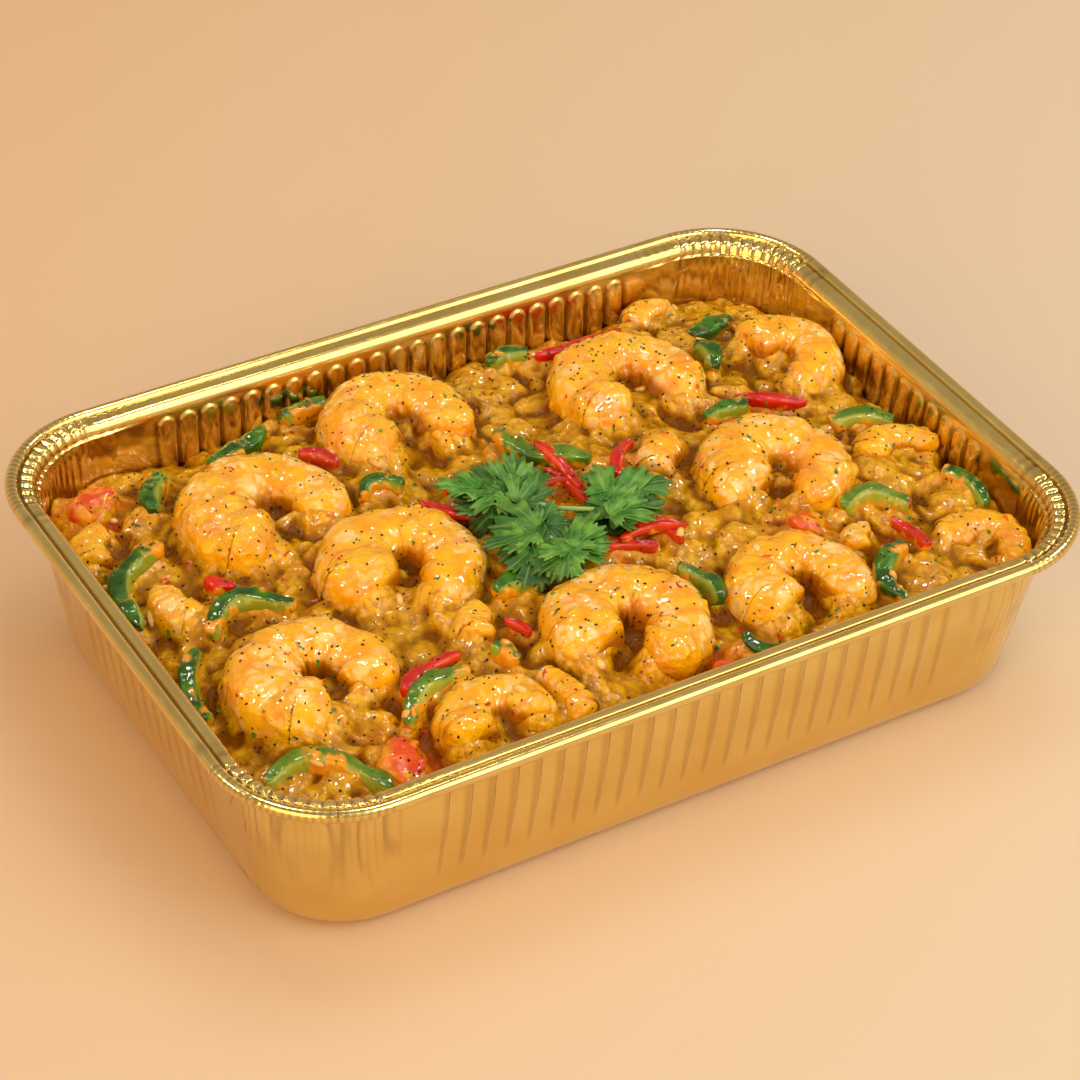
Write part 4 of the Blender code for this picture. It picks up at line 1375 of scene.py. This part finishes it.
def parsley_piece(floor, finish):
    """The sprig: leaflets with teeth in three sprays, on pale stems."""
    rng = np.random.default_rng(91)
    leaves = [(base, direction, length, tilt, 0.0) for base, direction, length, tilt in LEAFLETS]
    for base, tip in SMALL_LEAVES:
        reach = np.array(tip) - np.array(base)
        length = float(np.linalg.norm(reach))
        heading = math.degrees(math.atan2(reach[1], reach[0]))
        tilt = math.degrees(math.asin(reach[2] / length))
        leaves.append((base, heading, length * rng.uniform(0.95, 1.1), tilt, rng.uniform(-25, 25)))
        beside = (rng.uniform(-2, 2), rng.uniform(-2, 2), -rng.uniform(1.5, 2.5))
        under = tuple(np.add(base, beside))
        if rng.uniform() < UNDER_LEAF_SHARE:
            aside = heading + rng.uniform(-35, 35)
            leaves.append((under, aside, length * 0.8, tilt - 10, rng.uniform(-35, 35)))
    parts = []
    veins = []
    low_shades = []
    for seed, (base, direction, length, tilt, roll) in enumerate(leaves):
        placed, quads, vein = leaflet_mesh(base, direction, length, tilt, roll, LEAF_SEED + seed, floor)
        parts.append((placed, quads.tolist()))
        veins.append(vein)
        # Painted shade: the lower a leaflet lies, the darker it is
        low_shades.append(np.clip((44.4 - placed[:, 2]) / 3.5 + rng.uniform(-0.35, 0.4), 0, 1))
    points, faces = joined(parts)
    attributes = {"vein": np.concatenate(veins), "age": np.concatenate(low_shades)}
    made = add_piece("parsley_leaves", points, faces, finish, attributes, ["parsley_sprig"])
    thickness = made.modifiers.new("leaf thickness", "SOLIDIFY")
    thickness.thickness = LEAF_THICKNESS * 0.001
    thickness.offset = 0.0
    settle_modifiers(made)
    return made


def parsley_stems(finish):
    points, faces = joined([tube_mesh(stem_rings(spots)) for spots in STEMS])
    attributes = {"vein": np.full(len(points), STEM_PALENESS), "age": np.zeros(len(points))}
    return add_piece("parsley_stems", points, faces, finish, attributes)


# Crumbs and flecks


def scatter_tree():
    """Copies of a small shape scattered over a surface, each turned, sized and shaded at random."""
    tree = bpy.data.node_groups.new("scatter on the food", "GeometryNodeTree")
    for label, kind in (
        ("Surface", "NodeSocketGeometry"),
        ("Shape", "NodeSocketObject"),
        ("Density", "NodeSocketFloat"),
        ("Smallest", "NodeSocketVector"),
        ("Largest", "NodeSocketVector"),
        ("Lean", "NodeSocketFloat"),
        ("Seed", "NodeSocketInt"),
        ("Finish", "NodeSocketMaterial"),
    ):
        tree.interface.new_socket(label, in_out="INPUT", socket_type=kind)
    tree.interface.new_socket("Pieces", in_out="OUTPUT", socket_type="NodeSocketGeometry")
    given = add_node(tree, "NodeGroupInput").outputs
    points = add_node(tree, "GeometryNodeDistributePointsOnFaces", {
        "Mesh": given["Surface"],
        "Density": given["Density"],
        "Seed": given["Seed"],
    }, distribute_method="RANDOM")
    shape = add_node(tree, "GeometryNodeObjectInfo", {"Object": given["Shape"]})
    size = add_node(tree, "FunctionNodeRandomValue", {
        0: given["Smallest"],
        1: given["Largest"],
        "Seed": given["Seed"],
    }, data_type="FLOAT_VECTOR")
    lean = add_node(tree, "ShaderNodeCombineXYZ", {"X": given["Lean"], "Y": given["Lean"], "Z": math.pi})
    back = add_node(tree, "ShaderNodeVectorMath", {0: lean.outputs[0], "Scale": -1.0}, operation="SCALE")
    turn = add_node(tree, "FunctionNodeRandomValue", {
        0: back.outputs[0],
        1: lean.outputs[0],
        "Seed": given["Seed"],
    }, data_type="FLOAT_VECTOR")
    spin = add_node(tree, "FunctionNodeEulerToRotation", {0: turn.outputs[0]})
    facing = add_node(tree, "FunctionNodeRotateRotation", {
        "Rotation": points.outputs["Rotation"],
        "Rotate By": spin.outputs[0],
    }, rotation_space="LOCAL")
    placed = add_node(tree, "GeometryNodeInstanceOnPoints", {
        "Points": points.outputs["Points"],
        "Instance": shape.outputs["Geometry"],
        "Rotation": facing.outputs[0],
        "Scale": size.outputs[0],
    })
    shade = add_node(tree, "FunctionNodeRandomValue", {"Seed": given["Seed"]}, data_type="FLOAT")
    shaded = add_node(tree, "GeometryNodeStoreNamedAttribute", {
        "Geometry": placed.outputs["Instances"],
        "Name": "shade",
        "Value": shade.outputs[1],
    }, data_type="FLOAT", domain="INSTANCE")
    real = add_node(tree, "GeometryNodeRealizeInstances", {"Geometry": shaded.outputs["Geometry"]})
    finished = add_node(tree, "GeometryNodeSetMaterial", {
        "Geometry": real.outputs["Geometry"],
        "Material": given["Finish"],
    })
    add_node(tree, "NodeGroupOutput", {"Pieces": finished.outputs["Geometry"]})
    return tree


def scatter(kind, tree, surface, shape, seed):
    """One piece of many small bits. Sizes are in millimetres, the count is for the whole tray."""
    made = bpy.data.objects.new(kind["name"], surface.copy())
    bpy.context.scene.collection.objects.link(made)
    maker = made.modifiers.new("scatter", "NODES")
    maker.node_group = tree
    area = sum(face.area for face in surface.polygons)
    values = {
        "Shape": shape,
        "Density": kind["count"] / area,
        "Smallest": [v * 0.001 for v in kind["smallest"]],
        "Largest": [v * 0.001 for v in kind["largest"]],
        "Lean": kind["lean"],
        "Seed": seed,
        "Finish": plain_bit_material(*kind["finish"]),
    }
    for item in tree.interface.items_tree:
        if item.name in values:
            maker[item.identifier] = values[item.name]
    settle_modifiers(made)
    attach(made, "root")
    return made


def ball_shape(name, steps, swell):
    """A ball of unit size whose points are each moved out by a share. It stays out of the render."""
    bm = bmesh.new()
    bmesh.ops.create_icosphere(bm, subdivisions=steps, radius=1.0)
    for vert in bm.verts:
        vert.co *= swell(vert)
    mesh = bpy.data.meshes.new(name)
    bm.to_mesh(mesh)
    bm.free()
    return bpy.data.objects.new(name, mesh)


def grit_shape():
    """A crushed peppercorn: a rough ball of twenty faces."""
    def swell(vert):
        return 0.8 + 0.35 * float(chance(np.int64(vert.index), 3, 5, 7))

    return ball_shape("grit", 1, swell)


def round_shape():
    """A soft lump of eighty faces."""
    def swell(vert):
        return 1.0 + 0.22 * float(soft_noise(np.array([vert.co]) * 2.0, 1.0, 3)[0])

    made = ball_shape("lump", 2, swell)
    made.data.shade_smooth()
    return made


def flake_shape():
    """A chopped scrap of leaf: a thin bent plate with an uneven outline."""
    rng = np.random.default_rng(17)
    turns = np.linspace(0, 2 * np.pi, 7, endpoint=False)
    radius = rng.uniform(0.6, 1.1, 7)
    rim = [(r * math.cos(a), r * math.sin(a), 0.35 * math.cos(2 * a)) for r, a in zip(radius, turns)]
    top = [(0.0, 0.0, 0.12)] + [(x, y, z + 0.1) for x, y, z in rim]
    bottom = [(0.0, 0.0, -0.12)] + [(x, y, z - 0.1) for x, y, z in rim]
    faces = []
    for i in range(7):
        j = (i + 1) % 7
        faces.append((0, 1 + i, 1 + j))
        faces.append((8, 9 + j, 9 + i))
        faces.append((1 + i, 9 + i, 9 + j, 1 + j))
    mesh = bpy.data.meshes.new("flake")
    mesh.from_pydata(top + bottom, [], faces)
    return bpy.data.objects.new("flake", mesh)


def spot_below(tree, x, y):
    """The highest spot of the food at a place, or one at the food's edge level where there is none."""
    hit = tree.ray_cast(mm(x, y, ABOVE_ALL), Vector((0, 0, -1)))[0]
    return hit if hit else mm(x, y, FOOD_EDGE_LEVEL)


def top_sheet(x, y, tree):
    """A sheet that lies on everything that shows from above, for the scatter."""
    # Every second point, without the three rows along the walls
    inner = slice(3, -3, 2)
    x = x[inner, inner]
    y = y[inner, inner]
    points = [spot_below(tree, px, py) for px, py in zip(x.ravel(), y.ravel())]
    mesh = bpy.data.meshes.new("top of the food")
    mesh.from_pydata(points, [], grid_faces(*x.shape).tolist())
    return mesh


def tree_of(pieces):
    """The pieces' surfaces, ready to be found from above."""
    corners = []
    faces = []
    for piece in pieces:
        first = len(corners)
        corners.extend(vert.co.copy() for vert in piece.data.vertices)
        faces.extend(tuple(first + i for i in face.vertices) for face in piece.data.polygons)
    return BVHTree.FromPolygons(corners, faces)


# The studio


def aim(spot, target):
    """A turn that looks from the spot to the target."""
    return (Vector(target) - Vector(spot)).to_track_quat("-Z", "Y").to_matrix().to_4x4()


def area_light(name, spot, width, power, colour):
    """A square lamp, its place and width in metres, that points at the food."""
    light = bpy.data.lights.new(name, "AREA")
    light.shape = "SQUARE"
    light.size = width
    light.energy = power
    light.color = srgb(colour)[:3]
    made = bpy.data.objects.new(name, light)
    made.matrix_world = Matrix.Translation(spot) @ aim(spot, (0.0, 0.0, 0.03))
    bpy.context.scene.collection.objects.link(made)
    return made


def add_camera(scene):
    """The camera that sees the tray as the photo does."""
    azimuth = math.radians(CAMERA_AZIMUTH)
    elevation = math.radians(CAMERA_ELEVATION)
    level = math.cos(elevation)
    back = Vector((math.sin(azimuth) * level, -math.cos(azimuth) * level, math.sin(elevation)))
    right = (-back).cross(Vector((0, 0, 1))).normalized()
    up = right.cross(-back)
    roll = math.radians(CAMERA_ROLL)
    rolled_right = right * math.cos(roll) + up * math.sin(roll)
    rolled_up = up * math.cos(roll) - right * math.sin(roll)
    data = bpy.data.cameras.new("camera")
    data.lens = LENS
    data.sensor_width = 36.0
    camera = bpy.data.objects.new("camera", data)
    turn = Matrix((rolled_right, rolled_up, back)).transposed().to_4x4()
    camera.matrix_world = Matrix.Translation(mm(*CAMERA_TARGET) + back * CAMERA_DISTANCE * 0.001) @ turn
    scene.collection.objects.link(camera)
    scene.camera = camera


def add_floor(scene):
    """A wide sheet of matt paper, made a little paler to the right by painted light."""
    mesh = bpy.data.meshes.new("floor")
    half = 3.0
    corners = [(-half, -half, 0), (half, -half, 0), (half, half, 0), (-half, half, 0)]
    mesh.from_pydata(corners, [], [(0, 1, 2, 3)])
    made, tree, shader = new_material("pale matt floor")
    place = add_node(tree, "ShaderNodeTexCoord").outputs["Object"]
    along = {0: place, 1: (1.2, -1.25, 0.0)}
    toward_light = add_node(tree, "ShaderNodeVectorMath", along, operation="DOT_PRODUCT")
    across = between(tree, toward_light.outputs["Value"], -0.35, 0.35)
    # Painted light: the paper turns paler towards the key lamp's side.
    paper = mixed(tree, across, "DABA94", "DCCCB6")
    set_shader(tree, shader, {"Base Color": paper, "Roughness": 0.8})
    mesh.materials.append(made)
    floor = bpy.data.objects.new("floor", mesh)
    scene.collection.objects.link(floor)


def add_sky(scene):
    """Light from all round, warm and brighter near the horizon."""
    world = bpy.data.worlds.new("studio")
    world.use_nodes = True
    sky = world.node_tree
    background = sky.nodes["Background"]
    place = add_node(sky, "ShaderNodeTexCoord").outputs["Generated"]
    height = add_node(sky, "ShaderNodeSeparateXYZ", {0: place}).outputs["Z"]
    risen = between(sky, height, 0.15, 0.55)
    sky.links.new(mixed(sky, risen, "FFD9A8", "FFEFDA"), background.inputs["Color"])
    sky.links.new(between(sky, risen, 0.0, 1.0, 0.7, 0.42), background.inputs["Strength"])
    scene.world = world


def studio():
    """Camera, pale floor and soft light."""
    scene = bpy.context.scene
    add_camera(scene)
    add_floor(scene)
    add_sky(scene)
    for name, place, width, power, colour in SOFT_LAMPS:
        area_light(name, place, width, power, colour)
    soft_top = area_light("soft top", (0.25, 0.15, 1.5), 1.0, 7.5, "FFF6E8")
    soft_top.visible_glossy = False
    for number, spot in enumerate(GLINT_LAMPS):
        glint = area_light(f"glint {number + 1}", spot, GLINT_WIDTH, GLINT_POWER, "FFFAF0")
        glint.visible_diffuse = False
    scene.view_settings.view_transform = "Standard"


def main():
    studio()
    foil_tray_piece(gold_foil_material())

    x, y = sauce_grid()
    prawns = [prawn_track(numbers, PRAWN_RINGS) for numbers in PRAWNS]
    sunk = [prawn_track(numbers, SUNK_RINGS) for numbers in SUNK_PRAWNS]
    peppers = [strip_track(numbers, PEPPER_TAPER, sauce_level, PEPPER_LIFT) for numbers in PEPPERS]
    chillies = [strip_track(numbers, CHILLI_TAPER, sauce_level, CHILLI_LIFT) for numbers in CHILLIES]
    shreds = [strip_track(numbers, CHILLI_TAPER, over_sauce, 0.0) for numbers in SHREDS]
    tomatoes = [tomato_track(numbers, sauce_level) for numbers in TOMATOES]
    z = sauce_heights(x, y, prawns + sunk + peppers + chillies + tomatoes)
    runs = [(track, 7.0, 0.8) for track in tomatoes] + [(track, 2.0, 0.35) for track in chillies]
    edged_x, edged_y = fit_to_wall(x, y, z)
    food = [sauce_piece(edged_x, edged_y, z, spread_stain(x, y, runs), curry_material())]

    flesh = prawn_material()
    large = (PRAWN_RINGS, PRAWN_SIDES)
    small = (SUNK_RINGS, SUNK_SIDES)
    seeds = range(PRAWN_SEED, SUNK_SEED, 12)
    food += lay_prawns("curled_prawn", "prawn", PRAWNS, seeds, large, 0.0, flesh)
    seeds = range(SUNK_SEED, PEPPER_SEED, 10)
    food += lay_prawns("coated_prawn", "sunk_prawn", SUNK_PRAWNS, seeds, small, SUNK_COATING, flesh)
    green = vegetable_material("green pepper", "3C760A", "244E04", "94A02A", 0.2, 0.6)
    light_green = vegetable_material("pale green pepper", "6A8C14", "47700C", "A8AE3A", 0.2, 0.6)
    skins = [light_green if i in PALE_PEPPERS else green for i in range(len(peppers))]
    food += lay_strips("pepper_strip", "pepper", peppers, PEPPER_SEED, PEPPER_LOOK, skins)
    red = [vegetable_material("red chilli", "D8260C", "B41606", "EC5A22", 0.2, 0.8)] * len(chillies)
    food += lay_strips("chilli_strip", "chilli", chillies, CHILLI_SEED, CHILLI_LOOK, red)
    food += lay_strips("chilli_shred", None, shreds, SHRED_SEED, CHILLI_LOOK, red)
    orange = vegetable_material("cooked tomato", "E66018", "D6480A", "EA8C28", 0.22, 1.2)
    soft = [orange] * len(tomatoes)
    food += lay_strips("tomato_piece", "tomato", tomatoes, TOMATO_SEED, TOMATO_LOOK, soft)

    under = tree_of(food)

    def food_top(px, py):
        heights = [spot_below(under, ax, ay).z * 1000 for ax, ay in zip(np.ravel(px), np.ravel(py))]
        return np.array(heights).reshape(np.shape(px))

    leaf = parsley_material()
    parsley_piece(food_top, leaf)
    parsley_stems(leaf)

    sheet = top_sheet(x, y, under)
    tree = scatter_tree()
    shapes = {"grit": grit_shape(), "flake": flake_shape(), "lump": round_shape()}
    for seed, kind in enumerate(BITS, 1):
        scatter(kind, tree, sheet, shapes[kind["shape"]], seed)
    for helper in shapes.values():
        bpy.data.objects.remove(helper)


main()
